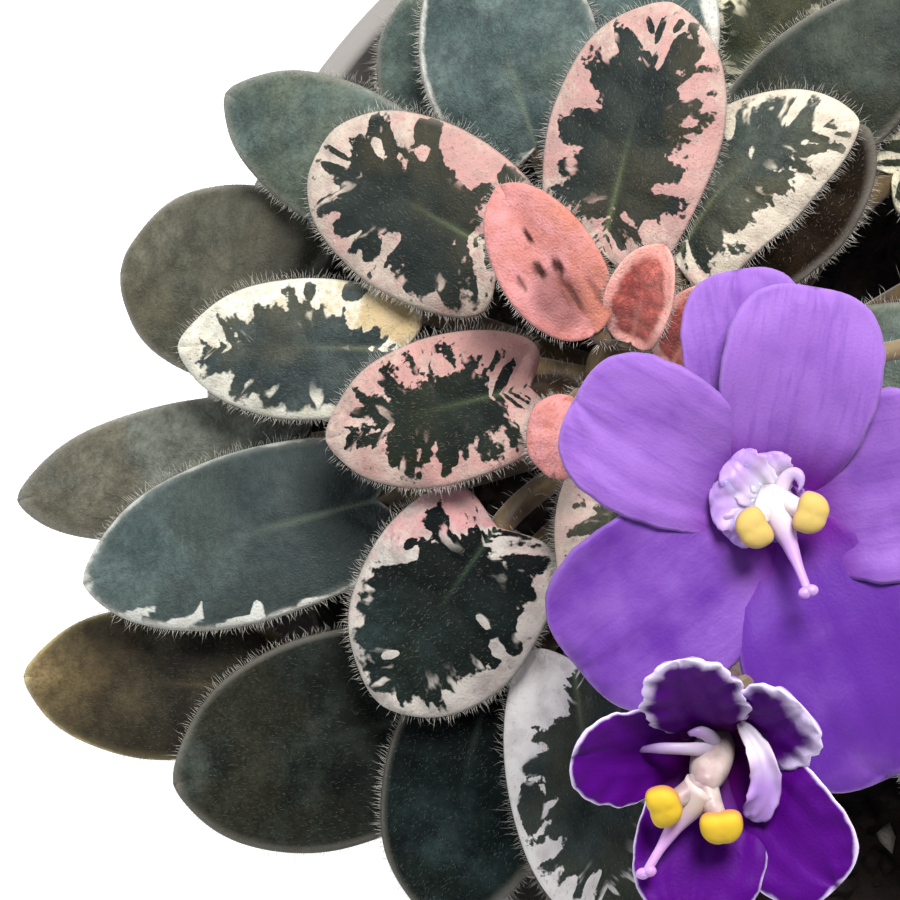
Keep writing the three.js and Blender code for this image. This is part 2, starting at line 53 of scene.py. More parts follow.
view = {
    "azimuth": 71.4,
    "elevation": 74.2,
    "target": (-26.79, -5.48, 100.0),
    "distance": 450.0,
    "sensor": 36.0,
    "lens": 190.8,
    "nearest": 10,
}


# Image right is level and image up leans towards +Y: right = Y x back, up = back x right
def addCamera():
    turn, rise = math.radians(view["azimuth"]), math.radians(view["elevation"])
    back = Vector((math.sin(turn) * math.cos(rise), -math.cos(turn) * math.cos(rise), math.sin(rise)))
    right = Vector((0, 1, 0)).cross(back).normalized()
    top = back.cross(right)
    lens = bpy.data.cameras.new("camera")
    lens.sensor_width = view["sensor"]
    lens.lens = view["lens"]
    lens.clip_start = view["nearest"] * mm
    camera = bpy.data.objects.new("camera", lens)
    camera.matrix_world = Matrix((right, top, back)).transposed().to_4x4()
    camera.location = (Vector(view["target"]) + back * view["distance"]) * mm
    bpy.context.scene.collection.objects.link(camera)
    bpy.context.scene.camera = camera


lamps = {
    "key": {"place": (230, 300, 580), "size": 260, "watts": 6.2, "tint": (1.0, 0.98, 0.95)},
    "fill": {"place": (-380, 60, 420), "size": 420, "watts": 1.1, "tint": (0.93, 0.96, 1.0)},
    "front": {"place": (-160, -480, 300), "size": 380, "watts": 0.4, "tint": (1.0, 0.98, 0.96)},
}
studio = {"aim": (-10, 0, 90), "sky": (0.95, 0.97, 1.0), "skyLight": 0.2, "floorSize": 6000,
          "floor": (0.9, 0.9, 0.9), "floorRough": 0.9, "floorGlow": 0.8,
          "floorHeight": 0.2}  # clear of the pot's flat underside


# One object at the origin from points in mm
def newObject(name, points, faces):
    mesh = bpy.data.meshes.new(name)
    mesh.from_pydata((np.asarray(points, float) * mm).tolist(), [], faces)
    thing = bpy.data.objects.new(name, mesh)
    bpy.context.scene.collection.objects.link(thing)
    return thing


def addStudio():
    scene = bpy.context.scene
    scene.view_settings.view_transform = "Standard"
    scene.world = bpy.data.worlds.new("studio")
    scene.world.use_nodes = True
    sky = scene.world.node_tree.nodes["Background"]
    sky.inputs["Color"].default_value = (*studio["sky"], 1)
    sky.inputs["Strength"].default_value = studio["skyLight"]
    aim = Vector(studio["aim"]) * mm
    for name, lamp in lamps.items():
        light = bpy.data.lights.new(name, "AREA")
        light.shape = "DISK"
        light.size = lamp["size"] * mm
        light.energy = lamp["watts"]
        light.color = lamp["tint"]
        holder = bpy.data.objects.new(name, light)
        holder.location = Vector(lamp["place"]) * mm
        holder.rotation_euler = (aim - holder.location).to_track_quat("-Z", "Y").to_euler()
        scene.collection.objects.link(holder)
    half, height = studio["floorSize"] / 2, studio["floorHeight"]
    corners = [(-half, -half, height), (half, -half, height), (half, half, height), (-half, half, height)]
    floor = newObject("floor", corners, [(0, 1, 2, 3)])
    paper = bpy.data.materials.new("pale paper")
    paper.use_nodes = True
    shader = paper.node_tree.nodes["Principled BSDF"]
    shader.inputs["Base Color"].default_value = (*studio["floor"], 1)
    shader.inputs["Roughness"].default_value = studio["floorRough"]
    shader.inputs["Emission Color"].default_value = (1, 1, 1, 1)
    shader.inputs["Emission Strength"].default_value = studio["floorGlow"]
    floor.data.materials.append(paper)


addCamera()
addStudio()
print("camera, light and floor")


# Working out surfaces as whole arrays

# Each vector over its length
def unit(vectors):
    return vectors / np.linalg.norm(vectors, axis=-1, keepdims=True)


# The level direction at a turn from +X: (cos, sin, 0)
def heading(turn):
    return np.array([math.cos(turn), math.sin(turn), 0.0])


# 0 below low, 1 above high and 3x^2 - 2x^3 between
def ease(low, high, values):
    x = np.clip((values - low) / (high - low), 0, 1)
    return x * x * (3 - 2 * x)


# Value noise from 0 to 1: a random number at each lattice corner, eased between corners
def grain(x, y, seed):
    def corner(i, j):
        wave = np.sin(i * 127.1 + j * 311.7 + seed * 74.7) * 43758.5453
        return wave - np.floor(wave)

    i, j = np.floor(x), np.floor(y)
    a, b = ease(0, 1, x - i), ease(0, 1, y - j)
    near = corner(i, j) * (1 - a) + corner(i + 1, j) * a
    far = corner(i, j + 1) * (1 - a) + corner(i + 1, j + 1) * a
    return near * (1 - b) + far * b


# Bezier curve: neighbouring points are blended by t until two are left, and their line is the tangent
def bezier(control, t):
    t = np.asarray(t, float)
    rows = [np.broadcast_to(np.asarray(point, float), t.shape + (3,)) for point in control]
    share = t[..., None]
    while len(rows) > 2:
        rows = [a + (b - a) * share for a, b in zip(rows, rows[1:])]
    return rows[0] + (rows[1] - rows[0]) * share, unit(rows[1] - rows[0])


# Centripetal Catmull-Rom: between two points a cubic whose end slopes weigh the steps before and after
# by the root of their lengths
def threaded(points, steps):
    points = np.asarray(points, float)
    path = np.vstack([2 * points[0] - points[1], points, 2 * points[-1] - points[-2]])
    last = len(points) - 1
    x = np.linspace(0, last, steps + 1)
    k = np.minimum(x.astype(int), last - 1)
    u = (x - k)[:, None]
    a, b, c, d = path[k], path[k + 1], path[k + 2], path[k + 3]
    before, here, after = [np.sqrt(np.linalg.norm(q - p, axis=1, keepdims=True))
                           for p, q in ((a, b), (b, c), (c, d))]
    slopeIn = ((b - a) / before - (c - a) / (before + here) + (c - b) / here) * here
    slopeOut = ((c - b) / here - (d - b) / (here + after) + (d - c) / after) * here
    centres = (b * (2 * u**3 - 3 * u**2 + 1) + c * (3 * u**2 - 2 * u**3)
               + slopeIn * (u**3 - 2 * u**2 + u) + slopeOut * (u**3 - u**2))
    return centres, unit(np.gradient(centres, axis=0))


# Faces point out when the sum of the corner tetrahedra is positive
def outward(shape):
    points, quads, tris = shape["points"], shape["quads"], shape["tris"]
    triangles = np.vstack([quads[:, [0, 1, 2]], quads[:, [0, 2, 3]], tris])
    a, b, c = (points[triangles[:, k]] for k in range(3))
    if np.einsum("ij,ij->", a, np.cross(b, c)) < 0:
        shape["quads"], shape["tris"] = quads[:, ::-1], tris[:, ::-1]
    return shape


# A skin over rings of points, closed round each ring, with its ends drawn in to two points
def skin(rings, first, last, **marks):
    rows, count = rings.shape[:2]
    start = np.arange(rows - 1)[:, None] * count
    k = np.arange(count)
    after = (k + 1) % count
    quads = np.stack([start + k, start + after, start + count + after, start + count + k], -1).reshape(-1, 4)
    top = (rows - 1) * count
    ends = np.full((2, count), [[rows * count], [rows * count + 1]])
    tris = np.vstack([np.stack([ends[0], after, k], -1), np.stack([ends[1], top + k, top + after], -1)])
    values = {name: np.concatenate([np.ravel(mark), [mark[0].mean(), mark[-1].mean()]])
              for name, mark in marks.items()}
    return outward({"points": np.vstack([rings.reshape(-1, 3), first, last]), "quads": quads,
                    "tris": tris, "marks": values})


# A skin over rings that closes both ways, such as the wall of a pipe
def wallSkin(rings):
    rows, count = rings.shape[:2]
    row, k = np.arange(rows)[:, None] * count, np.arange(count)
    nextRow, after = (row + count) % (rows * count), (k + 1) % count
    quads = np.stack([row + k, row + after, nextRow + after, nextRow + k], -1).reshape(-1, 4)
    return outward({"points": rings.reshape(-1, 3), "quads": quads, "tris": np.zeros((0, 3), int),
                    "marks": {}})


# Rings square to a path: each point goes round the centre by cosine to the side and sine along the normal
def tubeRings(centres, tangents, side, radii, count, flatness=1.0):
    normal = unit(np.cross(tangents, side))
    left = np.cross(normal, tangents)
    turn = 2 * np.pi * (np.arange(count) + 0.5) / count
    spokes = (-np.cos(turn)[None, :, None] * left[:, None]
              + flatness * np.sin(turn)[None, :, None] * normal[:, None])
    return centres[:, None] + np.reshape(radii, (-1, 1, 1)) * spokes


def pipe(centres, tangents, side, radii, count, flatness=1.0, **marks):
    rings = tubeRings(centres, tangents, side, radii, count, flatness)
    return skin(rings, centres[0], centres[-1], **marks)


# Sum of the steps from point to point
def pathLength(points):
    return np.linalg.norm(np.diff(points, axis=0), axis=1).sum()


# Many small bodies of one build as one shape: points has a row per body, faces count from its first point
def swarm(points, tris, quads=np.zeros((0, 4), int), **marks):
    first = points.shape[1] * np.arange(len(points))[:, None, None]
    return outward({"points": points.reshape(-1, 3), "quads": (first + np.array(quads)).reshape(-1, 4),
                    "tris": (first + np.array(tris)).reshape(-1, 3), "marks": marks})


# Profile points (radius, height) carried round the Z axis
def latheRings(profile, count):
    profile = np.asarray(profile, float)
    turn = 2 * np.pi * np.arange(count) / count
    return np.stack([profile[:, :1] * np.cos(turn), profile[:, :1] * np.sin(turn),
                     np.broadcast_to(profile[:, 1:], (len(profile), count))], -1)


# Shapes as one: faces count on from the points before them, and a mark that a shape lacks is 0 there
def gather(shapes):
    names = sorted({name for shape in shapes for name in shape["marks"]})
    whole = {"points": np.vstack([shape["points"] for shape in shapes]), "marks": {}}
    starts = np.cumsum([0] + [len(shape["points"]) for shape in shapes[:-1]])
    for kind in ("quads", "tris"):
        whole[kind] = np.vstack([shape[kind] + start for shape, start in zip(shapes, starts)])
    for name in names:
        whole["marks"][name] = np.concatenate([
            np.broadcast_to(shape["marks"].get(name, 0.0), len(shape["points"])) for shape in shapes])
    return whole


# One object at the origin from the shapes; each mark becomes an attribute with a number per point
def addPiece(name, shapes, material, standsFor=()):
    whole = gather(shapes)
    piece = newObject(name, whole["points"], whole["quads"].tolist() + whole["tris"].tolist())
    mesh = piece.data
    for mark, values in whole["marks"].items():
        mesh.attributes.new(mark, "FLOAT", "POINT").data.foreach_set("value", values.astype(np.float32))
    mesh.polygons.foreach_set("use_smooth", np.ones(len(mesh.polygons), bool))
    mesh.materials.append(material)
    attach(piece, "root")
    if standsFor:
        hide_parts(*standsFor)
    return piece


# Colours are given on a 0 to 255 screen scale, and made linear for the shader
def paint(screen):
    return tuple(((c / 255 + 0.055) / 1.055) ** 2.4 if c > 10 else c / 255 / 12.92 for c in screen)


def painted(look):
    return {part: paint(value) if isinstance(value, tuple) else value for part, value in look.items()}


def glow(weight):  # light that wanders up to 1 mm under the skin
    return {"Subsurface_Weight": weight, "Subsurface_Scale": mm}


# A material and short names for its shader nodes: each call adds one node and gives its output
class Finish:
    def __init__(self, name, roughness, **shaderValues):
        self.material = bpy.data.materials.new(name)
        self.material.use_nodes = True
        self.tree = self.material.node_tree
        self.shader = self.tree.nodes["Principled BSDF"]
        for socket, value in {"Roughness": roughness, **shaderValues}.items():
            self.shader.inputs[socket.replace("_", " ")].default_value = value

    def feed(self, value, socket):
        if isinstance(value, bpy.types.NodeSocket):
            self.tree.links.new(value, socket)
        else:
            socket.default_value = (*value, 1.0) if socket.type == "RGBA" and len(value) == 3 else value

    def node(self, kind, output, inputs, **options):
        node = self.tree.nodes.new("ShaderNode" + kind)
        for option, value in options.items():
            setattr(node, option, value)
        for name, value in inputs.items():
            self.feed(value, node.inputs[name])
        return node.outputs[output]

    def calc(self, operation, a, b):
        return self.node("Math", 0, {0: a, 1: b}, operation=operation)

    def times(self, a, b):
        return self.calc("MULTIPLY", a, b)

    def plus(self, a, b):
        return self.calc("ADD", a, b)

    def less(self, a, b):
        return self.calc("SUBTRACT", a, b)

    def mark(self, name):
        return self.node("Attribute", "Fac", {}, attribute_name=name)

    def point(self, x, y, z):
        return self.node("CombineXYZ", 0, {0: x, 1: y, 2: z})

    def place(self):
        return self.node("TexCoord", "Object", {})

    def cloud(self, vector, scale, detail=2.0, roughness=0.5):
        return self.node("TexNoise", "Fac", {"Vector": vector, "Scale": scale, "Detail": detail,
                                             "Roughness": roughness})

    def cells(self, vector, scale):
        return self.node("TexVoronoi", "Distance", {"Vector": vector, "Scale": scale}, feature="SMOOTH_F1")

    def between(self, value, low, high):
        return self.node("MapRange", 0, {"Value": value, "From Min": low, "From Max": high},
                         interpolation_type="SMOOTHSTEP")

    def blend(self, share, a, b):
        return self.node("Mix", 2, {0: share, 6: a, 7: b}, data_type="RGBA")

    def colour(self, value):
        self.feed(value, self.shader.inputs["Base Color"])

    def rough(self, height, depth, strength=1.0):  # bump: height 0 to 1 stands for depth in mm
        bump = self.node("Bump", 0, {"Strength": strength, "Distance": depth * mm, "Height": height})
        self.feed(bump, self.shader.inputs["Normal"])


# Leaf skins: a green centre feathered along the side veins into a pale border

leafLook = {"deep": (62, 78, 73), "light": (102, 118, 111), "olive": (90, 98, 82), "rib": (104, 116, 100),
            # dull: a greyed copy of the cream, partly for greyed zones of the border and partly painted shade
            # on it
            "cream": (214, 206, 192), "pink": (206, 160, 154), "dullShade": (172, 160, 150),
            # dark: the tone of the mottling, and of the painted shade at a leaf's base, in its vein grooves
            # and between its pebbles
            "dark": (30, 39, 37), "tinge": (90, 86, 64), "streak": 0.5, "fleck": 0.95, "sheen": 0.2,
            "gloss": 0.3, "relief": 0.22}
leafNoise = {"streaks": (0.8, 0.34, 0.66), "rags": (1.7, 0.3, 0.7), "patches": (0.16, 0.32, 0.7),
             "olive": (0.11, 0.44, 0.6), "speckle": (3.4, 0.5, 0.68), "mottle": (2.6, 0.4, 0.65),
             "warmth": (0.3, 0.3, 0.7), "dullShading": (0.5, 0.42, 0.72)}  # steps for each mm, low, high
leafGrain = {"flecks": 0.9, "pebbles": 1.15, "fine": 4.5}  # steps for each mm
leafCoats = {"olive": 0.75, "crease": 0.25, "pebbles": 0.36, "speckle": 0.3, "mottle": 0.26, "spot": 0.9,
             "rib": 0.5, "dullShading": 0.6, "furred": 0.2}

skins = {
    "green": dict(),
    "olive": dict(deep=(66, 67, 54), light=(106, 105, 90), olive=(94, 88, 68), rib=(110, 108, 86),
        dark=(34, 34, 26)),
    "weathered": dict(deep=(76, 80, 72), light=(112, 116, 106), olive=(102, 95, 77), rib=(118, 116, 96),
        dark=(38, 36, 28)),
    "golden": dict(deep=(30, 26, 18), light=(76, 69, 50), olive=(58, 48, 30), rib=(84, 72, 50),
        cream=(196, 178, 124), dark=(10, 9, 6), tinge=(168, 144, 98), fleck=0.84, sheen=0.12, gloss=0.16),
    "fringed": dict(deep=(58, 78, 77), light=(100, 117, 114), olive=(82, 96, 88), cream=(208, 210, 202),
        pink=(206, 176, 170), dark=(26, 35, 36), streak=0.9, fleck=0.9),
    "streaked": dict(deep=(34, 41, 28), light=(72, 76, 56), olive=(56, 54, 34), rib=(122, 124, 92),
        cream=(212, 208, 180), pink=(204, 176, 160), streak=3.4, fleck=0.7, sheen=0.12, gloss=0.16),
    # The next four skins are darker copies for leaves that lie under others: partly their own darker green,
    # partly painted shade. The brown one is near black, painted shadow for the leaf under inner_leaf_3.
    "shaded": dict(deep=(24, 33, 29), light=(68, 76, 67), olive=(52, 53, 41), rib=(72, 80, 66),
        gloss=0.2),
    "dusky": dict(deep=(22, 28, 26), light=(72, 79, 71), olive=(48, 46, 34), rib=(56, 62, 54),
        dark=(5, 7, 6), sheen=0.03, gloss=0.05),
    "night": dict(deep=(13, 23, 24), light=(50, 66, 66), olive=(26, 32, 27), rib=(44, 56, 50),
        dark=(3, 5, 4), sheen=0.02, gloss=0.04),
    "brown": dict(deep=(13, 8, 5), light=(38, 28, 18), olive=(24, 18, 10), rib=(50, 40, 26),
        dark=(7, 5, 3), sheen=0.02, gloss=0.04),
    "peach": dict(deep=(34, 48, 50), light=(76, 88, 86), olive=(78, 76, 56), rib=(116, 120, 94),
        cream=(216, 214, 200), pink=(188, 166, 124), dullShade=(180, 170, 144), streak=2.8, fleck=0.72),
    "rose": dict(deep=(156, 62, 58), light=(212, 124, 112), olive=(182, 90, 80), rib=(226, 160, 146),
        cream=(228, 186, 174), pink=(220, 152, 142), dullShade=(206, 136, 124), streak=0.9),
    "blush": dict(deep=(15, 24, 25), light=(44, 52, 48), olive=(60, 56, 40), rib=(108, 122, 86),
        cream=(192, 180, 166), pink=(184, 142, 137), dullShade=(158, 136, 130), streak=3.2, fleck=0.74,
        sheen=0.12, gloss=0.18),
    # a darker copy of the blush skin: partly its own darker green, partly painted shade from the blooms above
    "shadow": dict(deep=(14, 24, 25), light=(46, 62, 60), olive=(28, 36, 30), rib=(62, 78, 62),
        cream=(190, 184, 176), pink=(186, 138, 138), dullShade=(146, 134, 130), dark=(5, 9, 9), streak=3.4,
        fleck=0.72, sheen=0.05, gloss=0.08),
    "rosy": dict(deep=(12, 19, 16), light=(38, 45, 38), olive=(38, 40, 24), rib=(96, 112, 76),
        cream=(194, 176, 164), pink=(192, 146, 140), dullShade=(164, 132, 126), streak=3.2, fleck=0.74,
        sheen=0.06, gloss=0.1),
    "cream": dict(deep=(36, 46, 43), light=(80, 88, 80), olive=(82, 80, 60), rib=(124, 132, 100),
        cream=(206, 198, 180), pink=(200, 172, 162), dullShade=(176, 160, 144), streak=3.0, fleck=0.72,
        sheen=0.15, gloss=0.2),
    "frost": dict(deep=(24, 35, 34), light=(58, 70, 66), olive=(58, 60, 44), rib=(108, 120, 92),
        cream=(228, 224, 222), pink=(206, 190, 190), dullShade=(188, 180, 180), streak=3.0, fleck=0.72,
        sheen=0.15, gloss=0.2),
    "pink": dict(deep=(52, 12, 4), light=(122, 44, 27), olive=(142, 58, 38), rib=(204, 128, 112),
        cream=(196, 124, 106), pink=(202, 138, 138), dullShade=(176, 104, 90), streak=0.5),
}


# Noise is read at (mm along the blade, mm across it x squeeze), so its patches run out along the side veins.
# The border shows where reach, in mm past the centre's outline, plus that noise is above 0. The green is a
# blend of two tones under coats, each a share of one more tone.
def leafFinish(name, look):
    look = painted({**leafLook, **look})
    net = Finish(name, 0.62, Sheen_Weight=look["sheen"], Sheen_Roughness=0.35,
                 Sheen_Tint=(0.86, 0.9, 0.88, 1), Specular_IOR_Level=look["gloss"])
    mark, times, plus, between, blend = net.mark, net.times, net.plus, net.between, net.blend
    along, across, vein, seed = (mark(part) for part in ("along", "across", "vein", "seed"))

    def noise(vector, part, detail=2.0, roughness=0.5):
        steps, low, high = leafNoise[part]
        return between(net.cloud(vector, steps, detail, roughness), low, high)

    veined = net.point(vein, times(across, 0.3), seed)
    skinned = net.point(along, across, seed)
    elsewhere = net.point(plus(along, 57.0), across, seed)
    streaks = net.less(noise(veined, "streaks", 1.5), 0.5)
    ragged = net.less(noise(skinned, "rags"), 0.5)
    feather = times(plus(streaks, times(ragged, 0.4)), look["streak"])
    reach = plus(mark("reach"), times(feather, mark("fray")))
    border = between(reach, -0.28, 0.28)
    shifted = net.point(plus(vein, 31.0), times(across, 0.4), seed)
    flecks = net.cloud(shifted, leafGrain["flecks"])
    flecks = between(flecks, look["fleck"] - 0.14, look["fleck"] - 0.06)
    nearEdge = between(mark("reach"), -3.2, -0.4)
    border = net.calc("MAXIMUM", border, times(flecks, nearEdge))

    green = blend(noise(skinned, "patches", 4.0, 0.6), look["deep"], look["light"])
    pebbles = net.cells(skinned, leafGrain["pebbles"])
    coats = ((times(noise(elsewhere, "olive"), leafCoats["olive"]), "olive"),
             (mark("tinge"), "tinge"),
             # painted shade in the side veins' pressed-in grooves
             (times(mark("crease"), leafCoats["crease"]), "dark"),
             # fine mottling, darkest in the hollows between the bumps that the same cells raise: partly the
             # leaf's own mottling, partly painted shade in the hollows
             (times(between(pebbles, 0.25, 0.75), leafCoats["pebbles"]), "dark"),
             (times(noise(elsewhere, "speckle"), leafCoats["speckle"]), "light"),
             (times(noise(skinned, "mottle"), leafCoats["mottle"]), "dark"),
             (times(mark("spot"), leafCoats["spot"]), "deep"),
             # painted shade at the base, where the leaf goes under the leaves above
             (mark("shade"), "dark"),
             (times(mark("rib"), leafCoats["rib"]), "rib"))
    for share, tone in coats:
        green = blend(share, green, look[tone])

    warm = plus(mark("blush"), times(ragged, 0.3))
    warm = plus(warm, times(net.less(noise(skinned, "warmth"), 0.5), 0.5))
    pale = blend(between(warm, 0.1, 0.9), look["cream"], look["pink"])
    # random patches of the pale border greyed towards the dull tone: partly greyed zones, partly painted
    # shade
    pale = blend(times(noise(elsewhere, "dullShading", 3.0), leafCoats["dullShading"]), pale, look["dullShade"])
    border = times(border, net.less(1.0, mark("spot")))
    furred = times(mark("furred"), leafCoats["furred"])
    net.colour(blend(furred, blend(border, green, pale), look["cream"]))
    net.rough(plus(times(pebbles, -0.7), net.cloud(skinned, leafGrain["fine"])), look["relief"], 0.6)
    return net.material


leafFinishes = {look: leafFinish(f"{look} leaf skin", values) for look, values in skins.items()}


# Two tones in patches, over a finer grain that stands for depth in mm
def plainFinish(name, dark, light, scale, roughness, depth=0.1, **shaderValues):
    net = Finish(name, roughness, **shaderValues)
    patches = net.between(net.cloud(net.place(), scale, 4.0, 0.6), 0.3, 0.7)
    net.colour(net.blend(patches, paint(dark), paint(light)))
    net.rough(net.cloud(net.place(), scale * 4, 3.0), depth, 0.6)
    return net.material


hairFinish = plainFinish("leaf hair", (160, 158, 150), (202, 198, 190), 300, 0.5)
downFinish = plainFinish("leaf down", (72, 79, 74), (104, 110, 103), 300, 0.5)
paleDownFinish = plainFinish("pale leaf down", (104, 97, 89), (136, 127, 117), 300, 0.5)
stalkFinish = plainFinish("leaf stalk skin", (60, 45, 26), (112, 92, 58), 260, 0.55, Sheen_Weight=0.3)
youngStalkFinish = plainFinish("flower stalk skin", (92, 74, 58), (134, 116, 84), 260, 0.55, Sheen_Weight=0.3)


# Rosette. Base and tip are a blade's ends, (distance, angle) about the crown, 0 to the right and 90 back.
# Rim is the pale border's width in mm at even steps round the edge, from the base along the right side to
# the tip and back along the left side, and blush is how pink it is there. A spot is (along, across, half
# length, half width, strength). A blot is (along the midrib to its side vein, across, half lengths along and
# across, and the mm by which it widens the border there). Tinge and shade are shares from base to tip, and
# bow bends the midrib to the left. Shade is painted shade, darkening a leaf's base where it goes under the
# leaves above it.

crown = {"place": (-10, 1), "height": 105.5, "lean": (-0.12, 0.02), "foot": 60, "radius": 5.6, "soilTop": 75,
         "taper": 1.4, "clearance": 0.3}
storeys = {"foot": (80.5, 3.2), "base": (90.2, 3.1), "tip": (89.4, 2.9)}
leafBlade = {"full": 0.9, "point": 0.3, "egg": 0.12, "lobe": 0.16, "sweep": 0.1, "arch": 1.2, "cup": 1.2,
             "wave": 0.35, "waves": 3, "thickness": 1.1, "stalk": 1.2, "rise": 0.0, "quilt": 0.42,
             "veins": 6, "down": 1300, "fringe": 330, "hairLength": 0.95, "blush": (0, 0), "rim": (0, 0),
             # by default every leaf gets some painted shade at its base
             "tinge": (0, 0), "shade": (0.5, 0.2, 0, 0, 0), "spots": (), "blots": (), "frill": 0, "bow": 0,
             "rows": 54, "columns": 34}
youngBlade = {**leafBlade, "shade": (0, 0), "thickness": 0.9, "lobe": 0.04, "cup": -0.6, "wave": 0.2,
              "stalk": 0.8, "quilt": 0.16, "down": 420, "fringe": 200, "hairLength": 0.75,
              "blush": (0.6, 1.0, 0.6)}
markedLeaf = {"rows": 96, "columns": 60, "down": 900}  # the inner leaves, with a finer grid
bladeForm = {"frillWaves": (19, 5.3), "rippleShift": 1.3, "crowding": 0.4, "tipEase": 0.08, "thinnest": 0.02}
leafRelief = {"rib": 1.1, "ribDepth": 0.35, "rollStep": 3.5, "roll": 0.35, "roundness": 0.6}
marking = {"noRim": 20.0, "seam": 0.5, "seamFrom": 0.8, "blot": (1.35, 0.65), "spot": (1.25, 0.6),
           "rib": 0.24, "ribGone": (0.7, 0.2), "furred": 0.9, "frayFull": 2.4, "fray": (0.25, 1.1)}

